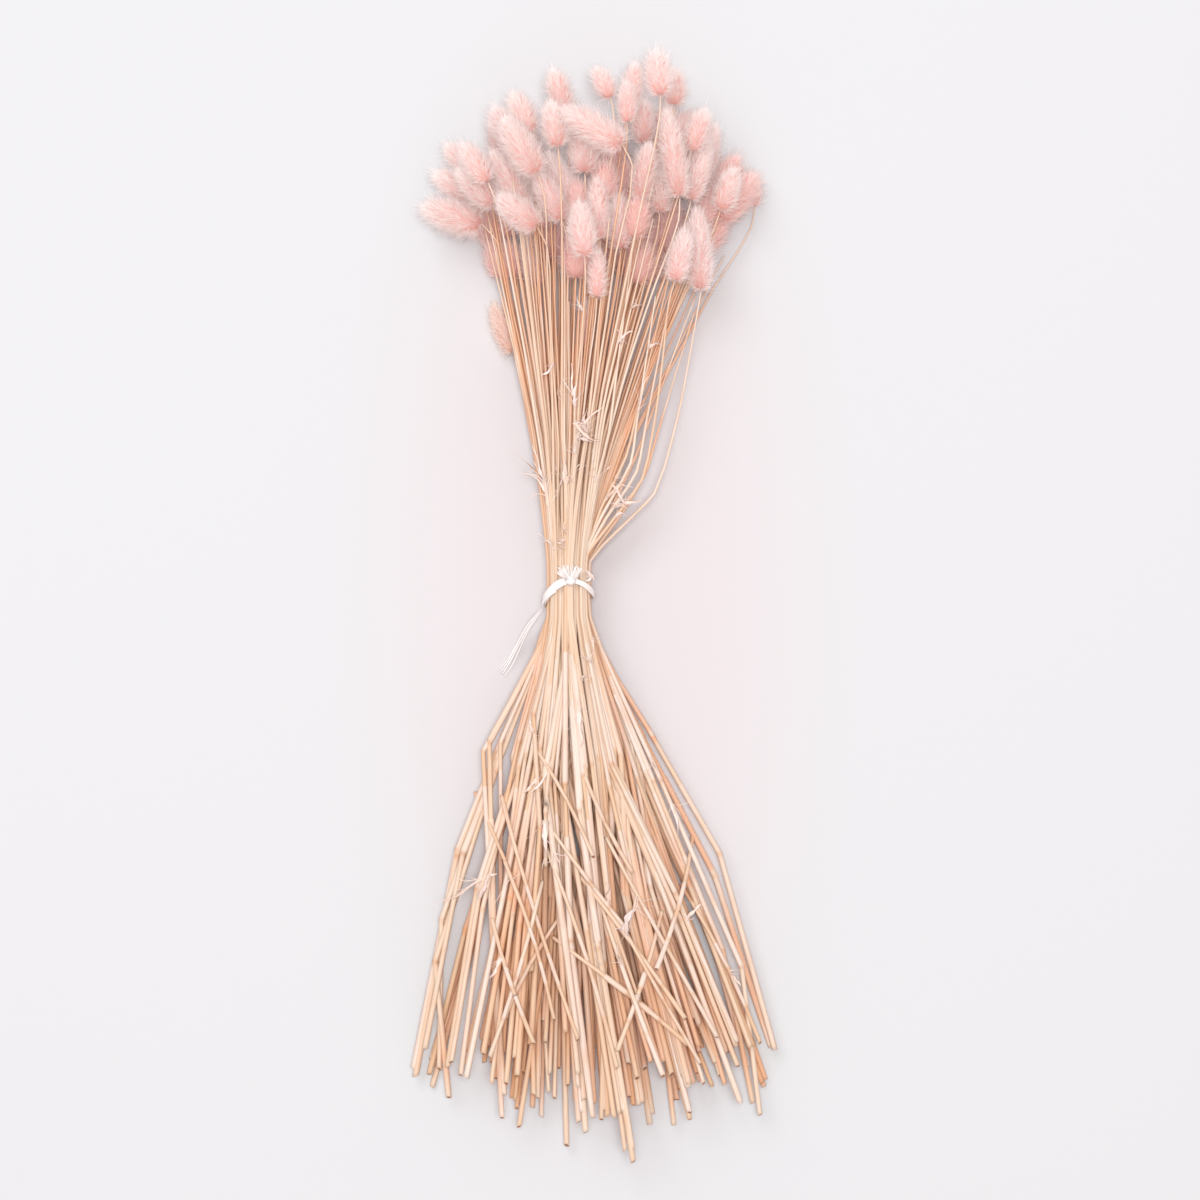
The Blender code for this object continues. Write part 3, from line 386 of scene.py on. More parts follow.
def part_heads(balls, ball_r, ball_head, near, push, hits):
    """Pushes heads off each other, sideways and up, where their balls are nearer than the gap."""
    a, b = near
    apart = balls[a] - balls[b]
    dist = np.maximum(np.linalg.norm(apart, axis=1), 1e-4)
    over = ball_r[a] + ball_r[b] + GAP + HEAD_SPARE - dist
    hit = over > 0
    side = apart[hit][:, [0, 2]]
    side[:, 1] += np.where(side[:, 1] >= 0, 1e-3, -1e-3)
    across = np.maximum(np.linalg.norm(side, axis=1), 1e-3)
    move = 0.5 * over[hit, None] * side / across[:, None] * np.minimum(dist[hit] / across, 1.6)[:, None]
    move[:, 0] *= RATHER_UP
    for who, sign in ((ball_head[a[hit]], 1.0), (ball_head[b[hit]], -1.0)):
        np.add.at(push, who, sign * move)
        np.add.at(hits, who, 1)


def part_stem_and_head(points, thick, share, station, near, middle, girth, ball_head, pushes):
    """Pushes stems out of heads, and the heads a little the other way."""
    ball, s, k = near
    push, hits, head_push, head_hits = pushes
    rel = np.column_stack([points[s, k, 0], station[k], points[s, k, 1]]) - middle
    reach = girth + thick[s, k] + GAP + MIXED_SPARE
    hit = np.linalg.norm(rel, axis=1) < reach
    rel, reach, s, k, ball = rel[hit], reach[hit], s[hit], k[hit], ball[hit]
    side = rel[:, [0, 2]]
    across = np.maximum(np.linalg.norm(side, axis=1), 1e-3)
    need = np.sqrt(np.maximum(reach ** 2 - rel[:, 1] ** 2, 0)) - across
    move = np.maximum(need, 0)[:, None] * side / across[:, None]
    share_out(push, hits, s, share[s, k] * MOBILE, STEM_YIELDS * move)
    np.add.at(head_push, ball_head[ball], -HEAD_YIELDS * move)
    np.add.at(head_hits, ball_head[ball], 1)


def settle(lines, owner, sheaf, radius, base, axis, length, head_r, bunch):
    """Move stems and heads sideways and up until no two separate pieces are nearer than the gap.

    Each round finds how far every ring and head is pushed, moves them, lets each stem spring back a
    little towards its own line, keeps a bunch together and lets nothing sink into the surface. Places
    are rounded to a millionth of a millimetre in each round, so that every computer gets the same.
    """
    count = len(lines)
    station, share, live = stations(lines)
    thick = np.einsum("skf,sf->sk", share, radius * CORNER)
    start = lines[:, :, [0, 2]]
    knots = start.copy()
    lowest_knot = radius * CORNER * math.sqrt(0.5) * 0.983
    slot_of = np.argsort(owner)                       # head -> slot
    shift = np.zeros((count, 2))                      # each head's own move
    balls0, ball_r = head_balls(base, axis, length, head_r)
    per_head = balls0.shape[1]
    lowest_ball = (balls0[:, :, 2] - 0.90 * ball_r).min(axis=1)
    ball_head = np.repeat(np.arange(count), per_head)
    ball_r = ball_r.reshape(-1)
    members = [np.flatnonzero(bunch == b) for b in range(bunch.max() + 1)]
    pull_back = np.where(bunch < 0, BACK, BUNCH_BACK)
    one, two = np.triu_indices(count * per_head, 1)
    same_head = ball_head[one] == ball_head[two]
    same_bunch = (bunch[ball_head[one]] == bunch[ball_head[two]]) & (bunch[ball_head[one]] >= 0)
    one, two = one[~same_head & ~same_bunch], two[~same_head & ~same_bunch]
    for step in range(ROUNDS):
        calm = step > ROUNDS * CALM
        points = np.einsum("skf,sfc->skc", share, knots)
        centres = balls0.copy()
        centres[:, :, [0, 2]] += shift[:, None, :]
        balls = centres.reshape(-1, 3)
        if step % SEARCH == 0:
            stem_pairs = near_stems(points, thick, live, sheaf, station)
            near = np.abs(balls[one] - balls[two]).max(axis=1) < ball_r[one] + ball_r[two] + HEADS_NEAR
            head_pairs = one[near], two[near]
            aside = np.hypot(balls[:, None, None, 0] - points[None, :, :, 0],
                             balls[:, None, None, 1] - station[None, None, :])
            above = np.abs(balls[:, None, None, 2] - points[None, :, :, 1])
            reach = ball_r[:, None, None] + MIXED_NEAR
            close = (aside < reach) & (above < reach) & live
            close &= (np.arange(count)[None, :] != slot_of[ball_head][:, None])[:, :, None]
            ball, s, k = np.nonzero(close)
            # at first a bunch turns away other stems as one thick bar, so that none is caught inside it
            other = (bunch[ball_head[ball]] >= 0) & (bunch[ball_head[ball]] != bunch[owner[s]])
            barred = other & (step < ROUNDS * BARRED)
        push, hits = np.zeros_like(knots), np.zeros((count, RINGS))
        head_push, head_hits = np.zeros((count, 2)), np.zeros(count)
        part_stems(points, share, stem_pairs, push, hits)
        part_heads(balls, ball_r, ball_head, head_pairs, head_push, head_hits)
        middles = centres.copy()
        for rows in members:
            middles[rows] = centres[rows].mean(axis=0)
        middle = np.where(barred[:, None], middles.reshape(-1, 3)[ball], balls[ball])
        girth = ball_r[ball] + np.where(barred, BAR_EXTRA, 0.0)
        part_stem_and_head(points, thick, share, station, (ball, s, k), middle, girth, ball_head,
                           (push, hits, head_push, head_hits))

        push /= np.maximum(hits, 1)[:, :, None] ** MANY
        head_push /= np.maximum(head_hits, 1)[:, None] ** MANY_HEADS
        head_push += NECK_PULLS * (push[slot_of, 9] + push[slot_of, 10])
        shift += np.clip(head_push, -HEAD_FURTHEST, HEAD_FURTHEST)
        if not calm:
            shift[:, 0] -= shift[:, 0] * pull_back * BACK_ACROSS
            shift[:, 1] -= shift[:, 1] * pull_back * BACK_DOWN
        for rows in members:                          # a bunch moves as one
            shift[rows] = shift[rows].mean(axis=0)
        shift[:, 1] += np.maximum(-(lowest_ball + shift[:, 1]), 0)
        for rows in members:
            shift[rows, 1] = shift[rows, 1].max()
        knots[:, :9] += np.clip(EAGER * push[:, :9], -FURTHEST, FURTHEST)
        away = knots - start
        spring = CALM_SPRING if calm else SPRING
        away[:, 1:3] += spring * (0.5 * (away[:, 0:2] + away[:, 2:4]) - away[:, 1:3])
        away[:, 5:9] += spring * (0.5 * (away[:, 4:8] + away[:, 6:10]) - away[:, 5:9])
        if not calm:
            away[:, 0] *= FOOT_BACK
        knots = start + away
        knots[:, 9:] = start[:, 9:] + shift[owner][:, None, :]
        knots[:, :, 1] = np.maximum(knots[:, :, 1], lowest_knot)
        knots, shift = np.round(knots, 6), np.round(shift, 6)
    lines, base = lines.copy(), base.copy()
    lines[:, :, [0, 2]] = knots
    base[:, [0, 2]] += shift
    return np.round(lines, 2), np.round(base, 2)


rng = np.random.default_rng(SEED)
base, axis, length, head_r, bunch = head_plan(rng)
slots, sheaf = waist_slots()
ends = end_plan(rng, len(slots))
lines, owner = stem_plan(rng, base, axis, slots, ends)
radius = stem_radii(rng, len(slots))
lines, base = settle(lines, owner, sheaf, radius, base, axis, length, head_r, bunch)
head_lines, head_sheaf, head_radius = lines, sheaf, radius

# finer straws: two lie between each two neighbours of a sheaf, and one between near stems of different
# sheaves. They wander from one to the other towards the foot, and run straight on above the tie to end
# under the heads
fine = np.random.default_rng(101)
WANDER = np.array([1, 0.9, 0.5, 0, 0, 0.3, 0.6, 0.6, 0.6, 0.6, 0.6])
FINER_LOWEST = 1.6              # height of the middle of one that lies on the surface
SHORTER, FLATTER = (0.66, 1.0), 0.7  # share of the way up to the heads that they go, and of the rise
NEAR_SHEAF = 3.4                # stems of different sheaves that lie this close, in mean radii, have one
pairs = []
for k in range(len(SHEAVES)):
    mine = np.flatnonzero(head_sheaf == k)
    mine = mine[np.argsort(head_lines[mine, 1, 0])]
    for one, two in zip(mine[:-1], mine[1:]):
        pairs += [(one, two, 0.3), (one, two, 0.7)]
waist = head_lines[:, 4][:, [0, 2]]
apart = np.linalg.norm(waist[:, None] - waist[None], axis=2) / head_radius[:, 4].mean()
apart[head_sheaf[:, None] == head_sheaf[None]] = np.inf
for one in np.argsort(apart.min(axis=1)):
    two = np.argmin(apart[one])
    if apart[one, two] < NEAR_SHEAF:
        pairs.append((one, two, 0.5))
        apart[[one, two]] = np.inf
        apart[:, [one, two]] = np.inf
left, right = np.array([pair[0] for pair in pairs]), np.array([pair[1] for pair in pairs])
share = np.array([pair[2] for pair in pairs])[:, None] + fine.uniform(-0.4, 0.4, (len(pairs), 1)) * WANDER
finer = head_lines[left] * (1 - share[..., None]) + head_lines[right] * share[..., None]
finer[:, :3, 1] += fine.uniform(-8, 16, (len(left), 1)) * np.array([1, 0.5, 0.3])
finer[:, 0, 2] = np.maximum(finer[:, 0, 2], FINER_LOWEST)
rise = (finer[:, 10] - finer[:, 6]) * fine.uniform(*SHORTER, (len(left), 1))
rise[:, 2] *= FLATTER
finer[:, 7:] = finer[:, 6:7] + rise[:, None] * np.linspace(0.25, 1, 4)[:, None]
lines = np.concatenate([lines, finer])
sheaf = np.concatenate([sheaf, head_sheaf[left]])
radius = np.concatenate([radius, 0.5 * (head_radius[left] + head_radius[right])])

# loose straws across the others below the tie: x and y of the cut end, then of where each dives under
ACROSS = [
    (-37, -194, -62, -136), (-54, -246, -27, -199), (-10, -257, -48, -138), (13, -274, -23, -164),
    (19, -194, -14, -150), (55, -261, -6, -213), (13, -264, 32, -206), (72, -257, 18, -160),
    (-62, -268, -38, -188), (40, -278, 8, -190), (-24, -246, -46, -176), (98, -262, 62, -190),
    (53, -245, 3, -178), (-1, -150, -28, -101), (22, -160, 0, -113), (-29, -156, -27, -113),
    (62, -272, 27, -210), (-36, -260, -53, -210), (36, -216, 52, -160),
]
RING_SHARES = np.array([0, 0.22, 0.46, 0.70, 0.76, 0.81, 0.86, 0.90, 0.94, 0.97, 1.0])
DIVE = 24.0                     # how far each goes on under the others, and how deep at least and at most
DIVE_DEEP = (9.0, 16.0)
UNDER_TOP = 6.0                 # its far end is this much lower than a straw on top would be there
STEEPEST = 0.1                  # most that one rises towards the tie, where it is tucked under others
LOOSE_RADIUS = 1.50
LOOSE_LOWEST = 1.4              # height of the middle of one that lies on the surface
TOUCH = 3.0                     # straws touch whose middles pass this near, seen from above,
STACKED = 2.1                   # and then lie this far above each other
BOW = 3.0                       # most that one bends to the side
HELD = 14                       # places where it may be held up, over the stretch that shows


def passing(y, which):
    """X and height of each straw where it passes y; past its end, those of its end."""
    return np.array([[np.interp(y, s[:, 1], s[:, c]) for s in which] for c in (0, 2)])


def tops_at(places):
    """Height that the middle of a straw has on top of the highest one under each place."""
    tops = []
    for x, y in places:
        here, high = passing(y, lines)
        under = (np.abs(here - x) < TOUCH) & (lines[:, 0, 1] < y + 2) & (lines[:, 10, 1] > y - 2)
        tops.append(high[under].max() + STACKED if under.any() else LOOSE_LOWEST)
    return np.array(tops)


for foot_x, foot_y, far_x, far_y in ACROSS:
    foot, far = np.array([foot_x, foot_y], float), np.array([far_x, far_y], float)
    heading = (far - foot) / np.linalg.norm(far - foot)
    reach = np.linalg.norm(far - foot) + DIVE
    along = np.concatenate([RING_SHARES * reach, np.linspace(0, reach - DIVE, HELD)])
    flat = foot + heading * along[:, None]
    bow = fine.uniform(-BOW, BOW) * np.sin(along / reach * math.pi)
    flat += np.array([-heading[1], heading[0]]) * bow[:, None]
    tops = tops_at(flat)
    # it lies straight on two straws, one on each side of its middle: of all lines through two such tops,
    # the one that is highest at the middle passes over all the others. A steep one lies on one top only
    held, held_tops = along[RINGS:], tops[RINGS:]
    one, two = np.meshgrid(np.arange(HELD // 2), np.arange(HELD // 2, HELD), indexing="ij")
    slopes = (held_tops[two] - held_tops[one]) / (held[two] - held[one])
    starts = held_tops[one] - slopes * held[one]
    slope = min(slopes.flat[np.argmax(starts + slopes * held.mean())], STEEPEST)
    rest = (held_tops - slope * held).max() + slope * along[:RINGS]
    sunk = np.clip((along[:RINGS] - reach + DIVE) / DIVE, 0, 1) ** 1.3
    rest -= np.clip(rest[-1] - tops[RINGS - 1] + UNDER_TOP, *DIVE_DEEP) * sunk
    crossing = np.concatenate([flat[:RINGS], np.maximum(rest, LOOSE_LOWEST)[:, None]], axis=1)
    nearest = np.argmin(np.abs(passing(far_y, head_lines)[0] - far_x))
    lines = np.concatenate([lines, crossing[None]])
    sheaf = np.concatenate([sheaf, [head_sheaf[nearest]]])
    radius = np.concatenate([radius, np.full((1, RINGS), LOOSE_RADIUS)])


def linear(code):
    """Linear colour of an sRGB hex value: each channel raised to about 2.4, with the straight toe."""
    srgb = np.array([int(code[i:i + 2], 16) for i in (1, 3, 5)]) / 255
    return (*np.where(srgb <= 0.04045, srgb / 12.92, ((srgb + 0.055) / 1.055) ** 2.4).tolist(), 1.0)


def add(tree, kind, inputs, **settings):
    """Adds a node with its settings; an input is given a socket to link to, or a value to hold."""
    made = tree.nodes.new("ShaderNode" + kind)
    for name, value in settings.items():
        setattr(made, name, value)
    for name, value in inputs.items():
        if isinstance(value, bpy.types.NodeSocket):
            tree.links.new(value, made.inputs[name])
        else:
            made.inputs[name].default_value = value
    return made


def unit(vectors):
    """Each vector divided by its own length."""
    return vectors / np.linalg.norm(vectors, axis=-1, keepdims=True)


def round_circle(count):
    """Angles of points that are spread evenly round a circle."""
    return np.linspace(0, 2 * math.pi, count, endpoint=False)


def carried(path, wide, thin, profile):
    """Skins of profiles carried along paths, one row of every array for each path.

    A point is path + wide * u + thin * v for each (u, v) of the profile there; a fan round the middle
    of the first and of the last ring closes the ends. Faces look out where thin x wide runs along the path.
    """
    many, rings, sides, _ = profile.shape
    ring_points = path[:, :, None] + wide[:, :, None] * profile[..., :1] + thin[:, :, None] * profile[..., 1:]
    points = np.concatenate([ring_points.reshape(many, -1, 3), ring_points[:, [0, -1]].mean(axis=2)], axis=1)
    ring, side = np.meshgrid(np.arange(rings - 1), np.arange(sides), indexing="ij")
    a, b = ring * sides + side, ring * sides + (side + 1) % sides
    wall = np.stack([a, b + sides, b, a, a + sides, b + sides], axis=-1).reshape(-1, 3)
    j, next_j, last = np.arange(sides), (np.arange(sides) + 1) % sides, (rings - 1) * sides
    low = np.stack([np.full(sides, rings * sides), j, next_j], axis=-1)
    high = np.stack([np.full(sides, rings * sides + 1), last + next_j, last + j], axis=-1)
    faces = np.concatenate([wall, low, high])
    return points.reshape(-1, 3), (faces + np.arange(many)[:, None, None] * points.shape[1]).reshape(-1, 3)


def on_points(values, shape):
    """Values given for (path, ring, side), spread to every point of carried skins, end middles too."""
    extra = values.shape[3:]
    full = np.broadcast_to(values, shape + extra)
    return np.concatenate([full.reshape(shape[0], -1, *extra), full[:, 0, :1], full[:, -1, :1]],
                          axis=1).reshape(-1, *extra)


def make_piece(name, points, faces, materials, nodes, marks, looks=None):
    """One finished piece: triangles over points in millimetres, with numbers marked at the points."""
    mesh = bpy.data.meshes.new(name)
    placed = (points + ORIGIN_SHIFT) * MM
    placed[:, 2] = np.maximum(placed[:, 2], 0)            # nothing sinks into the surface
    mesh.vertices.add(len(placed))
    mesh.vertices.foreach_set("co", placed.astype(np.float32).ravel())
    mesh.loops.add(faces.size)
    mesh.loops.foreach_set("vertex_index", faces.astype(np.int32).ravel())
    mesh.polygons.add(len(faces))
    mesh.polygons.foreach_set("loop_start", np.arange(0, faces.size, 3, dtype=np.int32))
    mesh.polygons.foreach_set("use_smooth", np.ones(len(faces), bool))
    for material in materials:
        mesh.materials.append(material)
    if looks is not None:
        mesh.polygons.foreach_set("material_index", looks.astype(np.int32))
    for word, values in marks.items():
        flat = values.ndim == 1
        field = mesh.attributes.new(word, "FLOAT" if flat else "FLOAT_VECTOR", "POINT")
        field.data.foreach_set("value" if flat else "vector", values.astype(np.float32).ravel())
    mesh.update(calc_edges=True)
    piece = bpy.data.objects.new(name, mesh)
    bpy.context.scene.collection.objects.link(piece)
    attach(piece, "root")
    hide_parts(*nodes)
    return piece


def new_material(name):
    """An empty material, and the tree that holds its nodes."""
    material = bpy.data.materials.new(name)
    material.use_nodes = True
    return material, material.node_tree


def close_material(tree, colour, values, passed, through, bump=None):
    """Ends a material: its surface in one colour, mixed by a share with light that passes in another."""
    shader = tree.nodes["Principled BSDF"]
    tree.links.new(colour, shader.inputs["Base Color"])
    if bump is not None:
        tree.links.new(bump.outputs["Normal"], shader.inputs["Normal"])
    for name, value in values.items():
        shader.inputs[name].default_value = value
    glow = add(tree, "BsdfTranslucent", {"Color": passed})
    both = add(tree, "MixShader", {0: through, 1: shader.outputs[0], 2: glow.outputs[0]})
    tree.links.new(both.outputs[0], tree.nodes["Material Output"].inputs["Surface"])


# dried straw: waxy cellulose with a faint gloss, finely lined along its length and bleached cream; where it
# lies deep in the bundle an ochre shade is painted on it. It is thin enough for some light to pass, which
# turns orange on the way. The grain counts radii round a straw and mm along it: fibres are drawn 0.5 mm
# apart, coarser than real ones so that they show, and run on for 30 mm; worn patches are 4 mm wide and 20 mm
# long
straw, tree = new_material("dried_straw")
grain = add(tree, "Attribute", {}, attribute_name="grain").outputs["Vector"]
words = ("tint", "along", "sheath", "joint", "hollow_shade", "inner")
marked = {word: add(tree, "Attribute", {}, attribute_name=word).outputs["Fac"] for word in words}
lined = add(tree, "Mapping", {"Vector": grain, "Scale": (2.6, 2.6, 0.035)}).outputs["Vector"]
strands = add(tree, "TexNoise", {"Vector": lined, "Scale": 1.0, "Detail": 3.0, "Roughness": 0.6})
fibres = strands.outputs["Fac"]
blotch = add(tree, "Mapping", {"Vector": grain, "Scale": (0.35, 0.35, 0.05)}).outputs["Vector"]
patches = add(tree, "TexNoise", {"Vector": blotch, "Scale": 1.0, "Detail": 2.0}).outputs["Fac"]
foot = add(tree, "Mix", {0: marked["tint"], 6: linear("#EEE2CF"), 7: linear("#E5C5A0")}, data_type="RGBA")
top = add(tree, "Mix", {0: marked["tint"], 6: linear("#F2E8D8"), 7: linear("#EDD3B6")}, data_type="RGBA")
dark = add(tree, "MapRange", {"Value": fibres, "From Min": 0.50, "From Max": 0.72, "To Max": 0.30})
worn = add(tree, "MapRange", {"Value": patches, "From Min": 0.52, "From Max": 0.75, "To Max": 0.4})
colour = add(tree, "Mix", {0: marked["along"], 6: foot.outputs[2], 7: top.outputs[2]}, data_type="RGBA")
for share, code in [            # laid over each other: sheath, fibres, wear, joints, painted shade deep in the bundle, painted shade in the hollow end
        (marked["sheath"], "#F2EAE2"), (dark.outputs[0], "#D29C70"), (worn.outputs[0], "#DCAE86"),
        (marked["joint"], "#C68A5E"), (marked["inner"], "#EEAB76"), (marked["hollow_shade"], "#9A5A30")]:
    colour = add(tree, "Mix", {0: share, 6: colour.outputs[2], 7: linear(code)}, data_type="RGBA")
passed = add(tree, "Mix", {0: 0.6, 6: colour.outputs[2], 7: linear("#FFA860")}, data_type="RGBA")
bump = add(tree, "Bump", {"Height": fibres, "Strength": 0.6, "Distance": 0.00012})
close_material(tree, colour.outputs[2], {"Roughness": 0.5, "IOR": 1.45}, passed.outputs[2],
               through=0.20, bump=bump)

STRAW_SIDES = 8
FINER = [0.90, 0.88, 0.76, 0.80]  # drawn finer than the solid's stems, which stand for a few straws each
HOLLOW_DEEP = 4.0               # how far the cut end is modelled hollow
SHEATH_STEP = 0.07              # how much a leaf sheath thickens the straw,
JOINT_STEP = 0.13               # and a joint does
STOUT = (0.82, 1.24)            # straws differ in thickness, most of all near the foot
MOUTH = (0.52, 0.60, 0.95)      # the cut end: inside deep down, inside at the rim, and the rim
gap = np.linalg.norm(np.diff(lines, axis=1), axis=2)     # from ring to ring along each straw


def run_places(k, offsets):
    """Places along a stem at distances in mm from ring k, measured in rings."""
    offsets = np.array(offsets)
    before, after = gap[:, max(k - 1, 0), None], gap[:, min(k, RINGS - 2), None]
    return k + offsets[None, :] / np.where(offsets[None, :] < 0, before, after)


def between(*marks):
    """Places along every stem that are the same share of the way between rings."""
    return np.tile(np.array(marks), (len(lines), 1))


around_joint = [-5.5, -2.6, -1.1, 0.0, 1.1, 2.6, 5.5]
mouth_low = 1 + fine.uniform(0.55, 0.9, len(lines))[:, None]      # where each leaf sheath ends
mouth_high = 2 + fine.uniform(0.4, 0.85, len(lines))[:, None]
place = np.concatenate([
    run_places(0, [HOLLOW_DEEP, 0.02, 0.01, 2.4]), between(0.3, 0.62), run_places(1, around_joint),
    between(1.36), mouth_low, mouth_low + 0.004, run_places(2, around_joint), between(2.33),
    mouth_high, mouth_high + 0.004, between(3.0, 3.5, 4.0), between(*np.arange(4 + 1 / 3, 9.9, 1 / 3)),
    between(9.999)], axis=1)


def cubic(t, one, two, leave, arrive):
    """Point at t between two points, on the cubic that has the given slopes at them."""
    return ((2 * t ** 3 - 3 * t ** 2 + 1) * one + (t ** 3 - 2 * t ** 2 + t) * leave
            + (3 * t ** 2 - 2 * t ** 3) * two + (t ** 3 - t ** 2) * arrive)


def along_stems(place):
    """Points and headings at places along every stem: cubic curves through the rings, straight between
    joints, where a stem bends sharply, and rounded elsewhere."""
    step = np.diff(lines, axis=1)
    size = np.linalg.norm(step, axis=2, keepdims=True)
    way = step / size
    turn = unit(np.concatenate([way[:, :1], way[:, :-1] + way[:, 1:], way[:, -1:]], axis=1))
    kink = np.array([1, 1, 1, 0.5, 0.5, 0.35, 0.35, 0.35, 0.3, 0.2, 0.2])[None, :, None]
    k = np.clip(place.astype(int), 0, RINGS - 2)
    t = (place - k)[:, :, None]
    s = np.arange(len(lines))[:, None]
    leave = (turn * (1 - kink))[s, k] + way[s, k] * kink[0, k]
    arrive = (turn * (1 - kink))[s, k + 1] + way[s, k] * kink[0, k + 1]
    leave, arrive = leave * size[s, k], arrive * size[s, k]
    one, two = lines[s, k], lines[s, k + 1]
    point = cubic(t, one, two, leave, arrive)
    heading = ((6 * t ** 2 - 6 * t) * one + (3 * t ** 2 - 4 * t + 1) * leave
               + (6 * t - 6 * t ** 2) * two + (3 * t ** 2 - 2 * t) * arrive)
    return point, unit(heading)


def level_and_up(heading):
    """Two directions across a heading: to the right, as X less its part along the heading, and up."""
    level = unit(np.array([1.0, 0.0, 0.0]) - heading[..., :1] * heading)
    return level, np.cross(level, heading)


point, heading = along_stems(place)
level, up = level_and_up(heading)
ring = np.arange(RINGS)
plain = radius.copy()
plain[:, 1:3] /= JOINT
thickness = np.stack([np.interp(p, ring, r) for p, r in zip(place, plain)])
measure = np.concatenate([np.zeros((len(lines), 1)), np.cumsum(gap, axis=1)], axis=1)
run = np.stack([np.interp(p, ring, m) for p, m in zip(place, measure)])          # mm from the cut end
from_joint = np.minimum(abs(run - measure[:, 1:2]), abs(run - measure[:, 2:3]))
joint = np.exp(-(from_joint / 1.5) ** 2)
dark_joint = fine.uniform(0.05, 0.45, (len(lines), 1))
in_sheath = ((place > 1) & (place <= mouth_low) | (place > 2) & (place <= mouth_high)).astype(float)
in_sheath = np.maximum(in_sheath, (place <= 1) * (fine.random((len(lines), 1)) < 0.45))
# on a fifth of the straws the sheaths have come loose and stand off to the sides, but not near the foot
loose = 1 + 0.28 * (fine.random((len(lines), 1)) < 0.2) * in_sheath * (run > 30)
stout = fine.uniform(*STOUT, (len(lines), 1))
thickness *= 1 + (stout - 1) * np.clip(1 - place / 3.6, 0, 1) ** 0.5
thickness *= np.interp(place, [0, 2, 3.5, 10], FINER)
thickness *= 1 + JOINT_STEP * joint + SHEATH_STEP * in_sheath
thickness[:, :3] *= MOUTH
# the inside of each hollow cut end, deep down and at the rim, is painted dark brown for the shade in it
hollow_shade = np.zeros_like(thickness)
hollow_shade[:, 0], hollow_shade[:, 1] = 1.0, 0.75

# how deep each point lies under the topmost straws, from a map of their height in cells of 3 mm; the deeper
# it lies, the more ochre shade is painted on it
CELL, SHALLOW, DEEP = 3.0, 4.0, 14.0
DEEP_SHADE_MOST = 0.52
walk = np.linspace(0, RINGS - 1, 400)
dense = np.stack([[np.interp(walk, ring, s[:, c]) for c in range(3)] for s in lines]).transpose(0, 2, 1)
low_corner = dense[..., :2].min(axis=(0, 1)) - 2 * CELL
cell = ((dense[..., :2] - low_corner) / CELL).astype(int)
top_map = np.full(cell.max(axis=(0, 1)) + 6, -1.0)
np.maximum.at(top_map, (cell[..., 0], cell[..., 1]), dense[..., 2])
around = [np.roll(top_map, (i, j), (0, 1)) for i in (-1, 0, 1) for j in (-1, 0, 1)]
top_map = np.max(around, axis=0)
cell = np.clip(((point[..., :2] - low_corner) / CELL).astype(int), 0, np.array(top_map.shape) - 1)
inner = np.clip((top_map[cell[..., 0], cell[..., 1]] - point[..., 2] - SHALLOW) / (DEEP - SHALLOW), 0, 1)
inner *= DEEP_SHADE_MOST

turn = round_circle(STRAW_SIDES)[None, None, :]
flat_turn = fine.uniform(0, math.pi, (len(lines), 1, 1))
flatness = fine.uniform(0.02, 0.16, (len(lines), 1, 1))
oval = 1 - flatness * np.cos(turn - flat_turn) ** 2
across = thickness[:, :, None] * oval * loose[:, :, None]
profile = np.stack([across * np.cos(turn), thickness[:, :, None] * oval * np.sin(turn)], axis=-1)
slant = np.stack([fine.uniform(-0.5, 0.5, len(lines)), fine.uniform(-0.2, 0.7, len(lines))], axis=1)
shape = profile.shape[:3]
grown = np.stack([np.cos(turn) * np.ones(shape), np.sin(turn) * np.ones(shape),
                  run[:, :, None] * np.ones(shape)], axis=-1)
grown += fine.uniform(0, 400, (len(lines), 1, 1, 3))
tint = fine.beta(1.6, 1.9, (len(lines), 1, 1))
along = np.clip((place - 2.2) / 3.4, 0, 1)[:, :, None] ** 0.8
sheathed = in_sheath[:, :, None] * fine.uniform(0.15, 0.75, (len(lines), 1, 1))
sheathed *= 1 - 0.8 * joint[:, :, None]

# Dry leaf blades and frayed sheaths: thin papery scraps of the leaves that wrapped the straws, torn and
# curled when the grass was stripped and dried. They stay on the straw that they grew from.

# scraps that the solids have too: x and y on the stem, turn from +Y in degrees, length, width and lift
LEAVES = [
    (-12, 95, 32, 27, 2.6, 5), (-19, 118, -12, 22, 2.4, 4), (6, 60, 40, 20, 3.2, 4),
    (18, -172, -168, 34, 3.0, 9), (-66, -163, -125, 34, 2.4, 4), (-33, 70, -25, 24, 2.2, 5),
    (24, 112, 8, 22, 2.4, 5), (-24, -96, -150, 24, 2.4, 5), (44, -118, 160, 26, 2.6, 5),
]
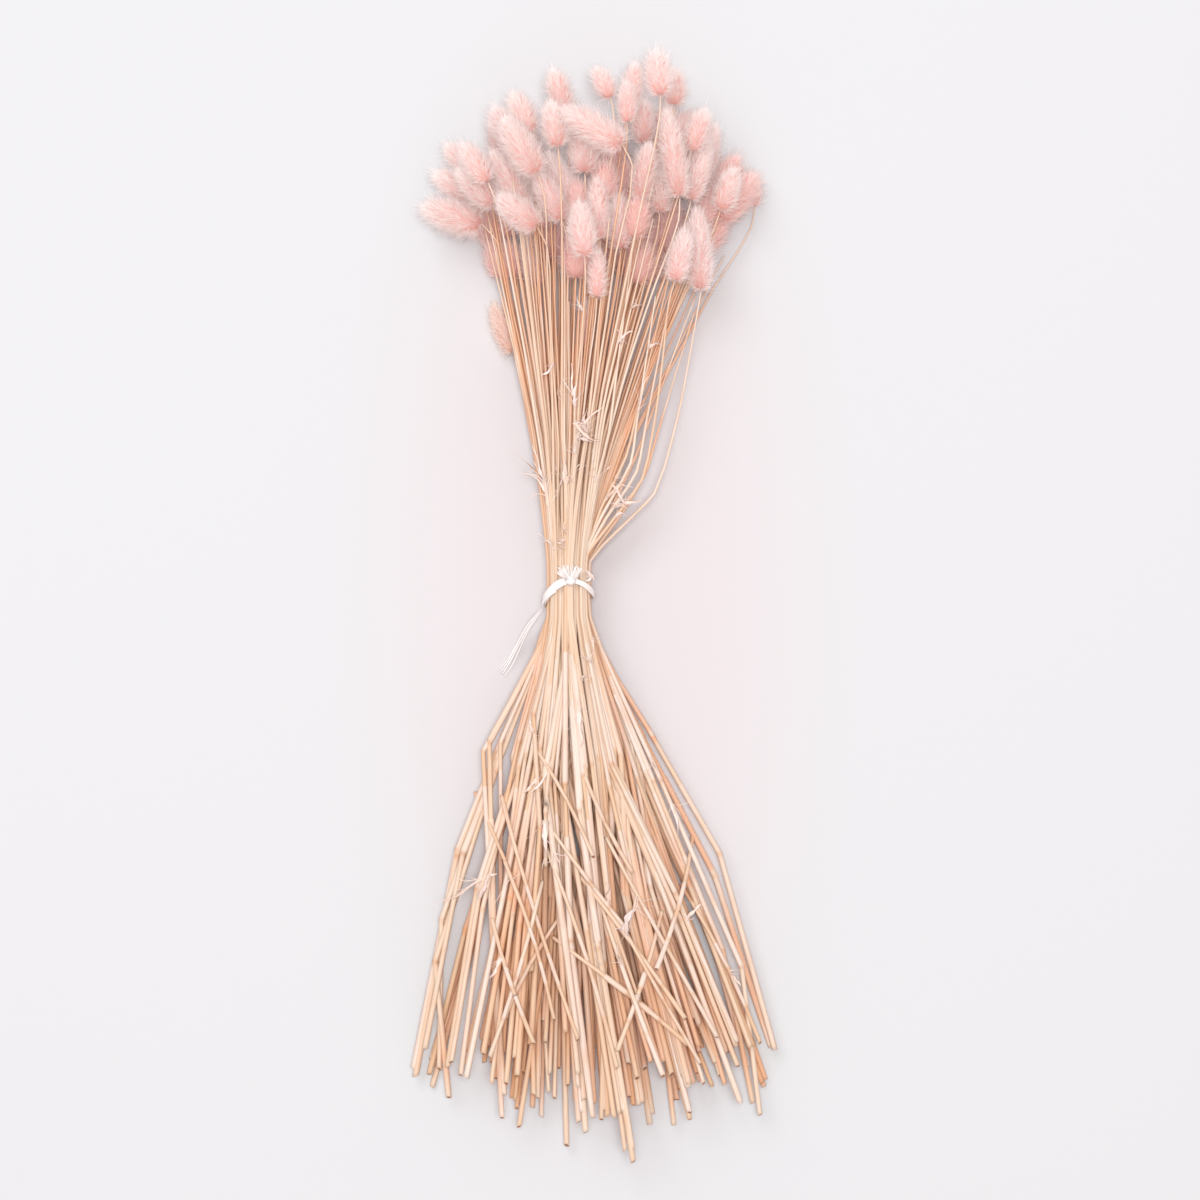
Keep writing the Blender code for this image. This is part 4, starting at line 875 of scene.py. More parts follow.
# scraps too thin for a solid, in the same way, and then the bend in degrees
SCRAPS = [
    (-11, 115, -3, 14, 1.6, 5, 15), (-11, 105, 150, 20, 2.4, 5, -50), (-6, 97, -8, 17, 2.6, 6, 20),
    (-6, 99, 20, 13, 1.6, 6, -40), (-7, 96, 95, 10, 1.4, 4, 20), (7, 71, -14, 19, 1.5, 4, 12),
    (7, 71, 34, 12, 1.1, 4, 18), (-19, 70, -3, 28, 1.6, 3, 3), (-15, 87, -6, 13, 1.2, 4, 60),
    (-17, 70, 24, 14, 2.4, 4, 30), (-18, 36, -75, 8, 1.3, 4, -50), (-17, 41, -40, 7, 1.0, 4, 70),
    (-19, 32, -110, 8, 1.4, 4, 30), (-32, 57, -4, 41, 1.9, 2, -68), (-32, 62, -20, 24, 1.0, 2, -60),
    (-36, 72, -48, 13, 0.8, 3, 40), (11, 69, 140, 15, 1.5, 5, 20), (10, 57, 88, 17, 1.5, 5, -20),
    (12, 55, 50, 12, 1.2, 5, 60), (22, 59, 20, 7, 0.8, 5, 40), (17, 50, 40, 9, 1.0, 4, 110),
    (7, 18, 110, 9, 1.6, 5, 150), (9, 14, 40, 9, 1.2, 5, 200), (-26, 34, -60, 11, 1.0, 3, 20),
    (14, -195, 4, 18, 2.8, 9, 40), (17, -178, 30, 15, 2.4, 9, -60), (-70, -176, 22, 16, 2.2, 5, 8),
    (-65, -163, 60, 8, 1.3, 5, 30), (-75, -164, -128, 27, 0.9, 3, 14), (-28, -129, 181, 29, 2.6, 3, 2),
    (85, -221, 130, 9, 0.9, 4, 20), (84, -219, 70, 7, 0.7, 4, 40), (-9, -60, 176, 26, 2.0, 3, 3),
    (-8, -46, 30, 7, 1.3, 4, 90), (4, -22, 150, 8, 1.2, 4, 60), (-3, -36, -20, 8, 1.3, 4, -90),
    (-39, -104, -150, 12, 1.2, 4, 30), (-33, -78, -40, 9, 1.0, 4, 50), (36, -92, 150, 14, 1.4, 4, 10),
    (-24, -146, 150, 15, 1.5, 5, 30), (9, -214, -30, 14, 1.4, 6, 40), (54, -188, 30, 13, 1.4, 5, 30),
    (-52, -208, 200, 16, 1.5, 5, 20), (14, 152, 30, 12, 1.0, 4, 50), (30, 150, 60, 10, 1.0, 4, 60),
    (-2, 170, -40, 10, 1.0, 4, 40), (22, 172, 40, 9, 0.9, 4, 80), (-28, 140, -160, 11, 1.0, 4, 50),
]

# papery sheath: bleached leaf skin, matt and thin enough to glow where light comes from behind; its veins
# run along it, a little under 0.5 mm apart
papery, tree = new_material("papery_leaf_sheath")
grain = add(tree, "Attribute", {}, attribute_name="grain").outputs["Vector"]
tint_at = add(tree, "Attribute", {}, attribute_name="tint").outputs["Fac"]
lined = add(tree, "Mapping", {"Vector": grain, "Scale": (2.2, 0.05, 0.05)}).outputs["Vector"]
veins = add(tree, "TexNoise", {"Vector": lined, "Scale": 1.0, "Detail": 2.0}).outputs["Fac"]
plain = add(tree, "Mix", {0: tint_at, 6: linear("#FFFAF8"), 7: linear("#FDEBDC")}, data_type="RGBA")
shade = add(tree, "MapRange", {"Value": veins, "From Min": 0.45, "From Max": 0.7, "To Max": 0.5})
colour = add(tree, "Mix", {0: shade.outputs[0], 6: plain.outputs[2], 7: linear("#FBE6DA")}, data_type="RGBA")
bump = add(tree, "Bump", {"Height": veins, "Strength": 0.5, "Distance": 0.0001})
close_material(tree, colour.outputs[2], {"Roughness": 0.7}, colour.outputs[2], through=0.3, bump=bump)

LEAF_RINGS, LEAF_SIDES = 11, 8
LEAF_THICK = 0.16
LEAF_BEND = 15                  # bend of the scraps that the solids have
LEAF_NARROWED, SCRAP_WIDENED = 0.6, 1.6
FIBRES = 3                      # loose fibres beside each scrap


def leaf_skins(roots, turns, sizes, widths, lifts, bends):
    """Blades that leave the straw, arch up and curl over: height follows a quarter sine, the sides bend
    with a slow sine and the blade rolls about its own length; its section is a shallow trough."""
    many = len(roots)
    t = np.linspace(0, 1, LEAF_RINGS)[None, :, None]
    bend = bends[:, None, None]
    phase = fine.uniform(0, 6, (many, 1, 1))
    course = turns[:, None, None] + bend * t ** 1.3 + 0.28 * t * np.sin(8 * t + phase)
    stride = np.concatenate([np.sin(course), np.cos(course), np.zeros_like(course)], axis=2)
    walk = np.cumsum(stride, axis=1) - stride[:, :1]
    walk *= sizes[:, None, None] / (LEAF_RINGS - 1)
    curl = fine.uniform(0.8, 1.7, (many, 1, 1))
    walk[:, :, 2:] = lifts[:, None, None] * np.sin(np.minimum(t * curl, 1.3) * math.pi * 0.5)
    path = roots[:, None] + walk
    way = unit(np.gradient(path, axis=1))
    wide = unit(np.cross(way, [0.0, 0.0, 1.0]))
    thin = np.cross(wide, way)
    roll = fine.uniform(-0.5, 0.5, (many, 1, 1)) + fine.uniform(-2.6, 2.6, (many, 1, 1)) * t
    wide, thin = wide * np.cos(roll) + thin * np.sin(roll), thin * np.cos(roll) - wide * np.sin(roll)
    a = round_circle(LEAF_SIDES)[None, None, :]
    torn = np.sin(11 * t + phase) + np.sin(23 * t + 2 * phase)
    half = 0.5 * widths[:, None, None] * (0.85 + 0.16 * torn) * (1 - 0.75 * t ** 3)
    ragged = 1 + 0.3 * np.sin(13 * t + 3 * np.sin(a) + turns[:, None, None] * 5)
    u = half * np.cos(a) * ragged
    v = 0.5 * LEAF_THICK * np.sin(a) + 0.22 * u * u / np.maximum(half, 0.2)
    section = np.stack([u, v], axis=-1)
    size = section.shape[:3]
    marks = np.stack([u, np.broadcast_to(t * sizes[:, None, None], size), v * 0], axis=-1)
    points, faces = carried(path, wide, thin, section)
    return points, faces, on_points(marks + fine.uniform(0, 300, (many, 1, 1, 3)), size), size


thick_leaves = np.array([row + (LEAF_BEND,) for row in LEAVES], float)
thick_leaves[:, 4] *= LEAF_NARROWED
torn_off = np.array(SCRAPS, float)
torn_off[:, 4] *= SCRAP_WIDENED
every = np.concatenate([thick_leaves, torn_off])
fringe = np.repeat(every, FIBRES, axis=0)
fringe[:, :2] += fine.uniform(-1.6, 1.6, (len(fringe), 2))
fringe[:, 2] += fine.uniform(-46, 46, len(fringe))
fringe[:, 3] *= fine.uniform(0.35, 0.85, len(fringe))
fringe[:, 4] = fine.uniform(0.3, 0.75, len(fringe))
fringe[:, 5] += fine.uniform(-1, 3, len(fringe))
fringe[:, 6] = fine.normal(0, 55, len(fringe))
every = np.concatenate([every, fringe])
here, high = np.stack([passing(y, lines) for y in every[:, 1]], axis=1)
reached = (every[:, 1:2] >= lines[None, :, 0, 1]) & (every[:, 1:2] <= lines[None, :, 10, 1])
grows_on = np.argmax(high - 1.2 * np.abs(here - every[:, :1]) - 1000 * ~reached, axis=1)
leaf = np.arange(len(every))
leaf_root = np.stack([here[leaf, grows_on], every[:, 1], high[leaf, grows_on] + 0.4], axis=1)

numbers = {"tint": tint, "along": along, "joint": (joint * dark_joint)[:, :, None],
           "hollow_shade": hollow_shade[:, :, None], "inner": inner[:, :, None], "sheath": sheathed, "grain": grown}
for k, name in enumerate(SHEAVES):
    mine = np.flatnonzero(sheaf == k)
    sized = (len(mine),) + shape[1:]
    points, faces = carried(point[mine], level[mine], up[mine], profile[mine])
    cut = (profile[mine] * slant[mine][:, None, None]).sum(axis=3)
    cut *= np.isin(np.arange(shape[1]), [1, 2])[:, None]
    points += on_points(cut[..., None] * heading[mine][:, :1, None], sized)
    marks = {word: on_points(values[mine], sized) for word, values in numbers.items()}
    looks = np.zeros(len(faces))
    leafy = np.flatnonzero(sheaf[grows_on] == k)
    if len(leafy):
        rows = every[leafy]
        skin, skin_faces, leaf_grain, size = leaf_skins(
            leaf_root[leafy], np.radians(rows[:, 2]), rows[:, 3], rows[:, 4], rows[:, 5],
            np.radians(rows[:, 6]))
        faces = np.concatenate([faces, skin_faces + len(points)])
        points = np.concatenate([points, skin])
        looks = np.concatenate([looks, np.ones(len(skin_faces))])
        extra = {word: np.zeros(len(skin)) for word in marks}
        extra.update(tint=on_points(fine.random((len(leafy), 1, 1)), size), grain=leaf_grain)
        marks = {word: np.concatenate([marks[word], extra[word]]) for word in marks}
    make_piece(f"straws_{name}", points, faces, [straw, papery], [f"stems_{name}"], marks, looks)


# Heads: the oval flower spikes, dyed blush, each a spike of seed husks hidden in fine soft hair that
# sweeps to the tip and ends in longer bristles. Each sits on its own straw, in open layers.

CORE_SIDES, CORE_RINGS = 10, 10
CORE_SHARE = 0.72               # core radius as a share of the head's,
CORE_LONG, CORE_FROM = 0.87, 0.03  # its length, and where it starts, in the same way
COAT_LENGTH = 5.4               # the dense coat
BRISTLE_LENGTH = 10.0           # the sparse longer bristles that make the soft edge
USUAL_R = 7.5                   # half width of a head with hair of these lengths; stouter ones have longer
BRISTLES = 0.24                 # share of the hairs that are bristles
HAIR_HALF = 0.11                # half width of a hair at its root; real ones are finer than a pixel
HAIRS_PER_MM2 = 3.7             # over the head's oval surface
UNDER_DENSITY = 1.8             # the same on heads that others cover
UNDER_WIDER = 1.2               # those spread wider,
UNDER_SHADE_ROSE = 0.45               # and are painted a deeper rose, for the shade under the heads above them
FLAT_FROM = 83.5                # height above which packing has pressed the hairs down,
FLATTENED = 0.8                 # and the share that it took of what stood above
LEAN_AT = ([0, 0.06, 0.2, 0.5, 0.8, 1.0], [-32, 2, 28, 42, 54, 76])  # along the head: degrees ahead

# dyed seed hair: fine silky fibre of a pale blush that passes much light on; the depth between the
# hairs, where light meets many of them, gives the rose, and the roots and the core are painted a deeper rose
# for the shade deep in the coat
hair, tree = new_material("dyed_seed_hair")
along_at = add(tree, "Attribute", {}, attribute_name="along").outputs["Fac"]
tint_at = add(tree, "Attribute", {}, attribute_name="tint").outputs["Fac"]
peach_at = add(tree, "Attribute", {}, attribute_name="peach").outputs["Fac"]
# roots and core: the blush dye at its deepest, deepened further as painted shade deep in the coat
root = add(tree, "Mix", {0: peach_at, 6: linear("#FFDAD3"), 7: linear("#FFE1CE")}, data_type="RGBA")
tip = add(tree, "Mix", {0: peach_at, 6: linear("#FFFEFD"), 7: linear("#FFF9F3")}, data_type="RGBA")
past_root = add(tree, "MapRange", {"Value": along_at, "To Min": 0.0, "From Max": 0.32})
grown = add(tree, "Mix", {0: past_root.outputs[0], 6: root.outputs[2], 7: tip.outputs[2]}, data_type="RGBA")
colour = add(tree, "Mix", {0: tint_at, 6: grown.outputs[2], 7: linear("#FFE6E1")}, data_type="RGBA")
close_material(tree, colour.outputs[2], {"Roughness": 0.6, "Specular IOR Level": 0.3},
               colour.outputs[2], through=0.5)


def head_skin(h, density, wider, shade_rose, peach):
    """Core and hair of one head.

    The core is the head's oval profile at CORE_SHARE of its width. A hair starts on it at (t, a), t along
    and a round the axis, leaves it leaning ahead by the angle of LEAN_AT for t, and bends a little more
    ahead from its middle on.
    """
    rnd = np.random.default_rng(500 + h)
    side = np.cross(axis[h], [0.0, 0.0, 1.0])
    side /= np.linalg.norm(side)
    above = np.cross(side, axis[h])
    size, wide = CORE_LONG * length[h], wider * head_r[h]
    t = np.linspace(0.02, 0.97, CORE_RINGS)
    path = base[h] + axis[h] * (size * (CORE_FROM + t))[:, None]
    a = round_circle(CORE_SIDES)
    core = CORE_SHARE * wide * head_profile(t)[:, None, None] * np.stack([np.cos(a), np.sin(a)], axis=-1)
    ones = np.ones((1, CORE_RINGS, 1))
    points, faces = carried(path[None], -side * ones, above * ones, core[None])
    core_count = len(points)

    count = int(density * math.pi * 2 * wide * size * 0.8)
    t = rnd.random(4 * count)                         # most of them start where the head is wide
    t = t[rnd.random(4 * count) < head_profile(t) + 0.2][:count]
    count = len(t)
    a = rnd.uniform(0, 2 * math.pi, count)
    bristle = rnd.random(count) < BRISTLES
    reach = np.where(bristle, BRISTLE_LENGTH, COAT_LENGTH) * rnd.uniform(0.6, 1.1, count)
    reach *= (wide / USUAL_R) ** 0.6
    # neighbouring hairs lean alike, which parts the coat into tufts
    ripple = 0.13 * np.sin(6 * a + 9 * t) + 0.10 * np.sin(11 * a - 15 * t + h) + 0.08 * np.sin(31 * t + 5 * a)
    lean = np.radians(np.interp(t, *LEAN_AT)) + ripple
    lean += rnd.normal(0, 1, count) * np.where(bristle, 0.30, 0.13)
    later = lean + 0.30 * (1 - t) + 0.04
    a_drift = a + rnd.normal(0, 0.16, count)
    out = side * np.cos(a)[:, None] + above * np.sin(a)[:, None]
    out_later = side * np.cos(a_drift)[:, None] + above * np.sin(a_drift)[:, None]
    stand = 0.97 * CORE_SHARE * wide * head_profile(t)
    start = base[h] + axis[h] * (size * (CORE_FROM + t))[:, None] + out * stand[:, None]
    half_reach = 0.5 * reach[:, None]
    middle = start + (out * np.cos(lean)[:, None] + axis[h] * np.sin(lean)[:, None]) * half_reach
    end = middle + (out_later * np.cos(later)[:, None] + axis[h] * np.sin(later)[:, None]) * half_reach

    way = unit(end - start)
    flat = np.cross(way, out)
    flat /= np.maximum(np.linalg.norm(flat, axis=1, keepdims=True), 1e-6)
    roll = rnd.uniform(-1.0, 1.0, count)[:, None]
    across = (flat * np.cos(roll) + np.cross(way, flat) * np.sin(roll)) * HAIR_HALF
    across *= np.where(bristle, 0.95, 1.0)[:, None] * rnd.uniform(0.8, 1.3, count)[:, None]
    strands = np.stack([start - across, start + across, middle - 0.8 * across, middle + 0.8 * across, end],
                       axis=1)
    hair_faces = np.array([[0, 1, 2], [1, 3, 2], [2, 3, 4]]) + 5 * np.arange(count)[:, None, None]
    hair_faces += core_count
    strands[..., 2] -= FLATTENED * np.maximum(strands[..., 2] - FLAT_FROM, 0)
    points = np.concatenate([points, strands.reshape(-1, 3)])
    faces = np.concatenate([faces, hair_faces.reshape(-1, 3)])
    along = np.concatenate([np.zeros(core_count), np.tile([0.0, 0.0, 0.5, 0.5, 1.0], count)])
    # heads that others cover get the painted shade rose on top of each hair's own random tint
    tint = np.concatenate([np.zeros(core_count), np.repeat(shade_rose + rnd.uniform(0, 0.35, count), 5)])
    return points, faces, {"along": along, "tint": tint, "peach": np.full(len(points), peach)}


# heads buried among the others: some of the finer straws have one too, each where it fills the widest
# gap that is left inside the outline of the heads above
BURIED = 14
BURIED_FROM = 186.0             # none sits lower on its straw
WORTH = 0.28                    # least share of a buried head that nothing covers
OUTLINE_IN = 5.0                # how far inside the outline each stays
COMPASS = 24                    # directions in which that is looked at
chosen = np.random.default_rng(60)
tip = lines[len(head_lines):len(head_lines) + len(pairs), 10]
toward = unit(tip - lines[len(head_lines):len(head_lines) + len(pairs), 8])
long, stout_r = chosen.uniform(21, 28, len(tip)), chosen.uniform(6.4, 7.6, len(tip))
turn_at = round_circle(COMPASS)
compass = np.stack([np.cos(turn_at), np.sin(turn_at)], axis=1)
spread = np.concatenate([compass * 0.45, compass * 0.9])                    # over a head's footprint


def footprint(start, ahead, size, wide):
    """Points spread over the ovals that heads cover from above, their middle start + ahead * size / 2."""
    middle = start + ahead * size[:, None] * 0.5
    beside = np.cross(ahead, [0.0, 0.0, 1.0])
    return (middle[:, None] + ahead[:, None] * (spread[:, :1] * size[:, None, None] * 0.5)
            + beside[:, None] * (spread[:, 1:] * wide[:, None, None]))[..., :2]


def covered(points, start, ahead, size, wide):
    """Whether each point lies in the oval of any of the heads."""
    off = points[..., None, :] - (start + ahead * size[:, None] * 0.5)[:, :2]
    beside = np.cross(ahead, [0.0, 0.0, 1.0])[:, :2]
    u = (off * ahead[:, :2]).sum(axis=-1) / (0.5 * size)
    v = (off * beside).sum(axis=-1) / wide
    return (u ** 2 + v ** 2 < 1).any(axis=-1)


edge = footprint(base, axis, length, head_r).reshape(-1, 2)
reach_out = (edge @ compass.T).max(axis=0) - OUTLINE_IN
spots = footprint(tip, toward, long, stout_r)
within = (spots @ compass.T <= reach_out).all(axis=(1, 2)) & (tip[:, 1] > BURIED_FROM)
for _ in range(BURIED):
    bare = (~covered(spots, base, axis, length, head_r)).mean(axis=1) * within
    best = np.argmax(bare)
    if bare[best] < WORTH:
        break
    near = np.argmin(np.linalg.norm(np.array(UNDER, float) - tip[best, :2], axis=1))
    base, axis = np.concatenate([base, tip[best:best + 1]]), np.concatenate([axis, toward[best:best + 1]])
    length, head_r = np.append(length, long[best]), np.append(head_r, stout_r[best])
    bunch = np.append(bunch, near)

PEACH_HEAD = 36                 # the low one on the left has lost its dye
faded = np.random.default_rng(9).uniform(0, 0.10, len(base))
faded[PEACH_HEAD] = 0.9
for h in range(len(HEADS)):
    points, faces, marks = head_skin(h, HAIRS_PER_MM2, 1.0, 0.0, faded[h])
    make_piece(f"plush_head_{h + 1:02d}", points, faces, [hair], [f"bunny_tail_{h + 1:02d}"],
               marks)

for k in range(len(UNDER)):
    skins, offset = [], 0
    for h in np.flatnonzero(bunch == k):
        points, faces, marks = head_skin(h, UNDER_DENSITY, UNDER_WIDER, UNDER_SHADE_ROSE, faded[h])
        skins.append((points, faces + offset, marks))
        offset += len(points)
    marks = {word: np.concatenate([skin[2][word] for skin in skins]) for word in skins[0][2]}
    make_piece(f"plush_heads_under_{k + 1}", np.concatenate([skin[0] for skin in skins]),
               np.concatenate([skin[1] for skin in skins]), [hair],
               [f"bunny_tails_under_{k + 1}"], marks)


# Tie: a strip of bleached raffia wound twice round the waist and knotted on top. One end is a short
# frayed brush at the knot, the other hangs off the left side and trails on the surface.

# The tie's tail: turn round the waist in degrees, distance off the band and y, while it leaves the band,
# then points down to the surface, each with the way its flat side looks, then half widths
TAIL_ROUND = [(122, 0.35, 7.0), (146, 0.5, 3.4), (168, 0.8, -0.5), (188, 2.0, -5.5)]
TAIL_DOWN = [
    ((-40.0, -15.5, 16.0), (-0.8, 0.2, 0.5)), ((-45.5, -26.0, 7.5), (-0.6, 0.2, 0.8)),
    ((-50.5, -36.0, 2.6), (-0.3, 0.1, 1.0)), ((-55.5, -44.0, 0.42), (0.0, 0.0, 1.0)),
]
TAIL_HALF = [1.7, 1.7, 1.8, 1.8, 1.7, 1.6, 1.3, 0.8]
BAND_THICK = 0.9
CREASES = 6                     # the strip goes round twice, each turn creased into three
KNOT_FOLDS = 5                  # short folds laid over each other
BRUSH_THREADS = 100             # the frayed short end that stands off the knot
# the tail's strands: place across it, share of its width, first of its points
TAIL_STRANDS = [(-0.9, 0.55, 0), (0.0, 0.62, 0), (0.95, 0.5, 0), (1.7, 0.22, 3)]
TURN_RINGS, FOLD_RINGS, THREAD_RINGS, TAIL_RINGS = 60, 16, 7, 34

# bleached raffia: thin flat palm fibre with a silky sheen, split lengthwise into threads a third of a
# millimetre apart
raffia, tree = new_material("bleached_raffia")
grain = add(tree, "Attribute", {}, attribute_name="grain").outputs["Vector"]
lined = add(tree, "Mapping", {"Vector": grain, "Scale": (3.0, 0.06, 0.06)}).outputs["Vector"]
threads = add(tree, "TexNoise", {"Vector": lined, "Scale": 1.0, "Detail": 2.0}).outputs["Fac"]
colour = add(tree, "Mix", {0: threads, 6: linear("#FFFFFF"), 7: linear("#FFFAF6")}, data_type="RGBA")
bump = add(tree, "Bump", {"Height": threads, "Strength": 0.8, "Distance": 0.00015})
close_material(tree, colour.outputs[2], {"Roughness": 0.42}, colour.outputs[2], through=0.14, bump=bump)

STRIP_SIDES = 8


def strip_skin(path, face, half, thick, crease=0.0):
    """Flat strip along a path: its flat side looks along face, its section is a thin oval that is
    creased by a cosine along its middle."""
    way = unit(np.gradient(path, axis=0))
    wide = unit(np.cross(way, face))
    thin = np.cross(wide, way)
    a = round_circle(STRIP_SIDES)
    u = half[:, None] * np.cos(a)
    v = 0.5 * thick * np.sin(a) + crease * half[:, None] * np.cos(math.pi * np.cos(a))
    section = np.stack([u, v], axis=-1)[None]
    points, faces = carried(path[None], wide[None], thin[None], section)
    run = np.concatenate([[0], np.cumsum(np.linalg.norm(np.diff(path, axis=0), axis=1))])
    marks = np.stack([u, np.broadcast_to(run[:, None], u.shape), v], axis=-1)[None]
    return points, faces, on_points(marks + np.array([path[0, 0] * 7, 0, path[0, 2] * 5]), section.shape[:3])


def smooth_path(knots, count):
    """Curve through given points: cubic in each run, its slope there the mean of its neighbours'."""
    knots = np.array(knots, float)
    slope = np.gradient(knots, axis=0)
    g = np.linspace(0, len(knots) - 1, count)
    k = np.clip(g.astype(int), 0, len(knots) - 2)
    t = (g - k)[:, None]
    return cubic(t, knots[k], knots[k + 1], slope[k], slope[k + 1])


in_tie = np.arange(WAIST_LOW, WAIST_HIGH + 0.1, 3.0)
at_tie = np.stack([[np.hypot(np.interp(in_tie, s[:, 1], s[:, 0]) - WAIST_X,
                             np.interp(in_tie, s[:, 1], s[:, 2]) - WAIST_Z)
                    + np.interp(in_tie, s[:, 1], r) * CORNER] for s, r in zip(head_lines, head_radius)])
inner = at_tie.max() + GAP
knotting = np.random.default_rng(77)
strips = []
for layer in range(CREASES):
    a = np.linspace(0.5 * math.pi, 2.5 * math.pi, TURN_RINGS)
    # the turns climb towards the knot on top, and lie closest there
    lift = np.maximum(np.sin(a), 0)
    spread = (0.66 - 0.24 * np.cos(a)) * (1 - 0.45 * lift ** 4)
    wave = 0.3 * np.sin(3 * a + layer * 1.7) + (layer - 2.5) * spread
    r = inner + 0.16 + 0.13 * layer + 0.10 * np.sin(5 * a + layer)
    path = np.stack([WAIST_X + np.cos(a) * r, 1.8 + 10.5 * lift ** 1.6 + 1.6 * np.cos(a) + wave,
                     WAIST_Z + np.sin(a) * r], axis=1)
    face = np.stack([np.cos(a), 0.25 * np.sin(2 * a + layer * 2.1), np.sin(a)], axis=1)
    half = (1.0 - 0.22 * np.cos(a)) * (1 - 0.25 * lift ** 4) + 0.18 * np.sin(4 * a + layer * 2.6)
    strips.append(strip_skin(path, face, half, 0.22, 0.14))

top = np.array([WAIST_X + 1.0, 12.8, WAIST_Z + inner + 1.6])
for fold in range(KNOT_FOLDS):
    a = math.radians(-64 + 30 * fold)
    reach = np.array([math.sin(a), math.cos(a), 0.0])
    bow = 1.9 - 0.25 * abs(fold - 2)
    knots = [top - reach * 3.2 + (0, 0, -1.5), top - reach * 2.2 + (0, 0, 0.5), top + (0, 0, bow * 0.8),
             top + reach * 2.2 + (0, 0, 0.5), top + reach * 3.2 + (0, 0, -1.5)]
    path = smooth_path(knots, FOLD_RINGS)
    face = path - (top + np.array([0, 0, -2.2]))
    strips.append(strip_skin(path, face, np.linspace(1.2, 1.5, FOLD_RINGS), 0.3, 0.15))

for strand in range(BRUSH_THREADS):
    aside = knotting.uniform(-1, 1)
    turn = math.radians(-8 + 46 * aside + knotting.normal(0, 9))
    size = knotting.uniform(5.4, 9.4) * (1 - 0.2 * abs(aside))
    root = top + np.array([3.3 * aside, knotting.uniform(0.0, 1.6), knotting.uniform(-1.0, 1.2)])
    ahead = np.array([math.sin(turn), math.cos(turn), 0.0])
    rise = knotting.uniform(-0.5, 3.8)
    half_way, end = root + ahead * size * 0.5 + (0, 0, rise * 0.8), root + ahead * size + (0, 0, rise)
    path = smooth_path([root, half_way, end], THREAD_RINGS)
    half = np.linspace(0.34, 0.16, THREAD_RINGS) * knotting.uniform(0.6, 1.4)
    face = np.tile([math.cos(strand), 0.2, 1.0], (THREAD_RINGS, 1))
    strips.append(strip_skin(path, face, half, 0.1))

r = inner + BAND_THICK * 0.55
knots, faces_at = [], []
for a, out, y in TAIL_ROUND:
    away = np.array([math.cos(math.radians(a)), 0.0, math.sin(math.radians(a))])
    knots.append(np.array([WAIST_X, y, WAIST_Z]) + away * (r + out))
    faces_at.append(away)
knots += [np.array(p) for p, _ in TAIL_DOWN]
faces_at += [np.array(f) for _, f in TAIL_DOWN]
for strand, (aside, share, start) in enumerate(TAIL_STRANDS):
    path = smooth_path(knots[start:], TAIL_RINGS)
    face = smooth_path(faces_at[start:], TAIL_RINGS)
    g = np.linspace(0, 1, TAIL_RINGS)
    drift = aside * (1 + 1.1 * g ** 2) + 0.35 * np.sin(7 * g + strand * 2)
    beside = unit(np.cross(np.gradient(path, axis=0), face))
    half = 0.75 * share * np.interp(g * 7, range(8), TAIL_HALF) * (1 - 0.35 * g ** 3)
    strips.append(strip_skin(path + beside * drift[:, None], face, half, 0.18, 0.10))

offset = np.cumsum([0] + [len(s[0]) for s in strips])
points = np.concatenate([s[0] for s in strips])
faces = np.concatenate([s[1] + o for s, o in zip(strips, offset)])
make_piece("knotted_raffia_strip", points, faces, [raffia], ["raffia_tie"],
           {"grain": np.concatenate([s[2] for s in strips])})


# Studio: a pale matt floor under the bundle, a broad soft key light from the far left, a smaller fill
# above the bundle and an even pale sky.

FLOOR_HALF = 4.0                # metres, as all sizes of the studio
FLOOR_LOW = -0.0004
corners = [(-1, -1), (1, -1), (1, 1), (-1, 1)]
mesh = bpy.data.meshes.new("pale_floor")
mesh.from_pydata([(x * FLOOR_HALF, y * FLOOR_HALF, FLOOR_LOW) for x, y in corners], [], [(0, 1, 2, 3)])
floor = bpy.data.objects.new("pale_floor", mesh)
bpy.context.scene.collection.objects.link(floor)
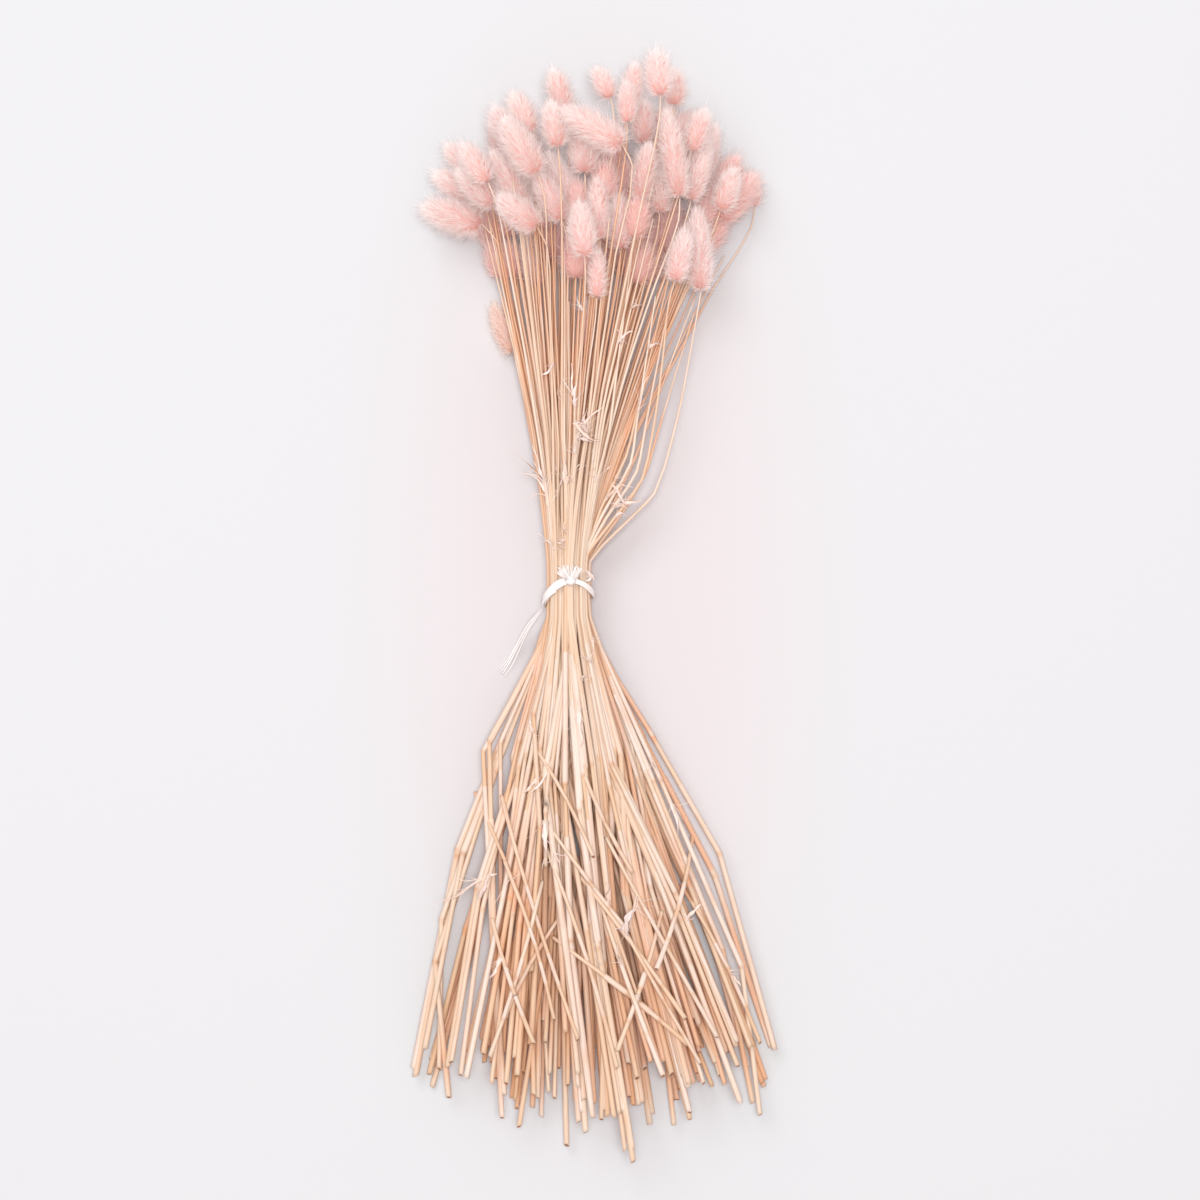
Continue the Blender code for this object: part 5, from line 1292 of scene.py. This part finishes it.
# matt backdrop paper: smooth white paper that scatters light evenly, with a faint pink blush painted round
# the
# bundle: the pinkish shade beside it and the light that its pink heads throw back
paper, tree = new_material("matt_backdrop_paper")
place_at = add(tree, "TexCoord", {}).outputs["Object"]
oval = add(tree, "Mapping", {"Vector": place_at, "Scale": (1.0, 0.42, 0.0)}).outputs["Vector"]
away = add(tree, "VectorMath", {0: oval}, operation="LENGTH").outputs["Value"]
# share of the painted blush: whole close round the bundle, none beyond
near = add(tree, "MapRange", {"Value": away, "From Min": 0.06, "From Max": 0.17, "To Min": 1.0, "To Max": 0},
           interpolation_type="SMOOTHSTEP")
paper_and_painted_blush = add(tree, "Mix", {0: near.outputs["Result"], 6: linear("#CCD1D3"), 7: linear("#CFCDCF")},
            data_type="RGBA")
shader = tree.nodes["Principled BSDF"]
tree.links.new(paper_and_painted_blush.outputs[2], shader.inputs["Base Color"])
shader.inputs["Roughness"].default_value = 0.9
shader.inputs["Specular IOR Level"].default_value = 0.1
mesh.materials.append(paper)
floor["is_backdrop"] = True

world = bpy.data.worlds.new("pale_sky")
world.use_nodes = True
sky = world.node_tree.nodes["Background"]
sky.inputs["Color"].default_value = linear("#FFE6E2")
sky.inputs["Strength"].default_value = 0.64
bpy.context.scene.world = world

SOFTBOXES = {                   # place in metres, side, watts: the key from the far left, the fill above
    "key_softbox": ((-1.5, 2.2, 4.4), 2.7, 91.0),
    "fill_softbox": ((0.1, 0.1, 4.8), 0.9, 144.0),
}
for name, (place_at, side, watts) in SOFTBOXES.items():
    lamp = bpy.data.lights.new(name, "AREA")
    lamp.size = side
    lamp.energy = watts
    lamp.color = linear("#F9FDFF")[:3]
    softbox = bpy.data.objects.new(name, lamp)
    softbox.location = place_at
    x, y, z = place_at
    softbox.rotation_euler = (math.atan2(math.hypot(x, y), z), 0, math.atan2(-x, y) + math.pi)
    bpy.context.scene.collection.objects.link(softbox)

CAMERA_AT = (0.0030, 0.0015, 3.045)
VIEW_WIDTH = 0.707              # seen across at the bundle's middle height,
VIEW_FROM = 3.0                 # this far below the camera
SENSOR = 36.0
camera_data = bpy.data.cameras.new("camera")
camera_data.sensor_width = SENSOR
camera_data.lens = SENSOR * VIEW_FROM / VIEW_WIDTH
camera_data.clip_end = 50.0
camera = bpy.data.objects.new("camera", camera_data)
camera.location = CAMERA_AT
bpy.context.scene.collection.objects.link(camera)
bpy.context.scene.camera = camera
bpy.context.scene.view_settings.view_transform = "Standard"

low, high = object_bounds()
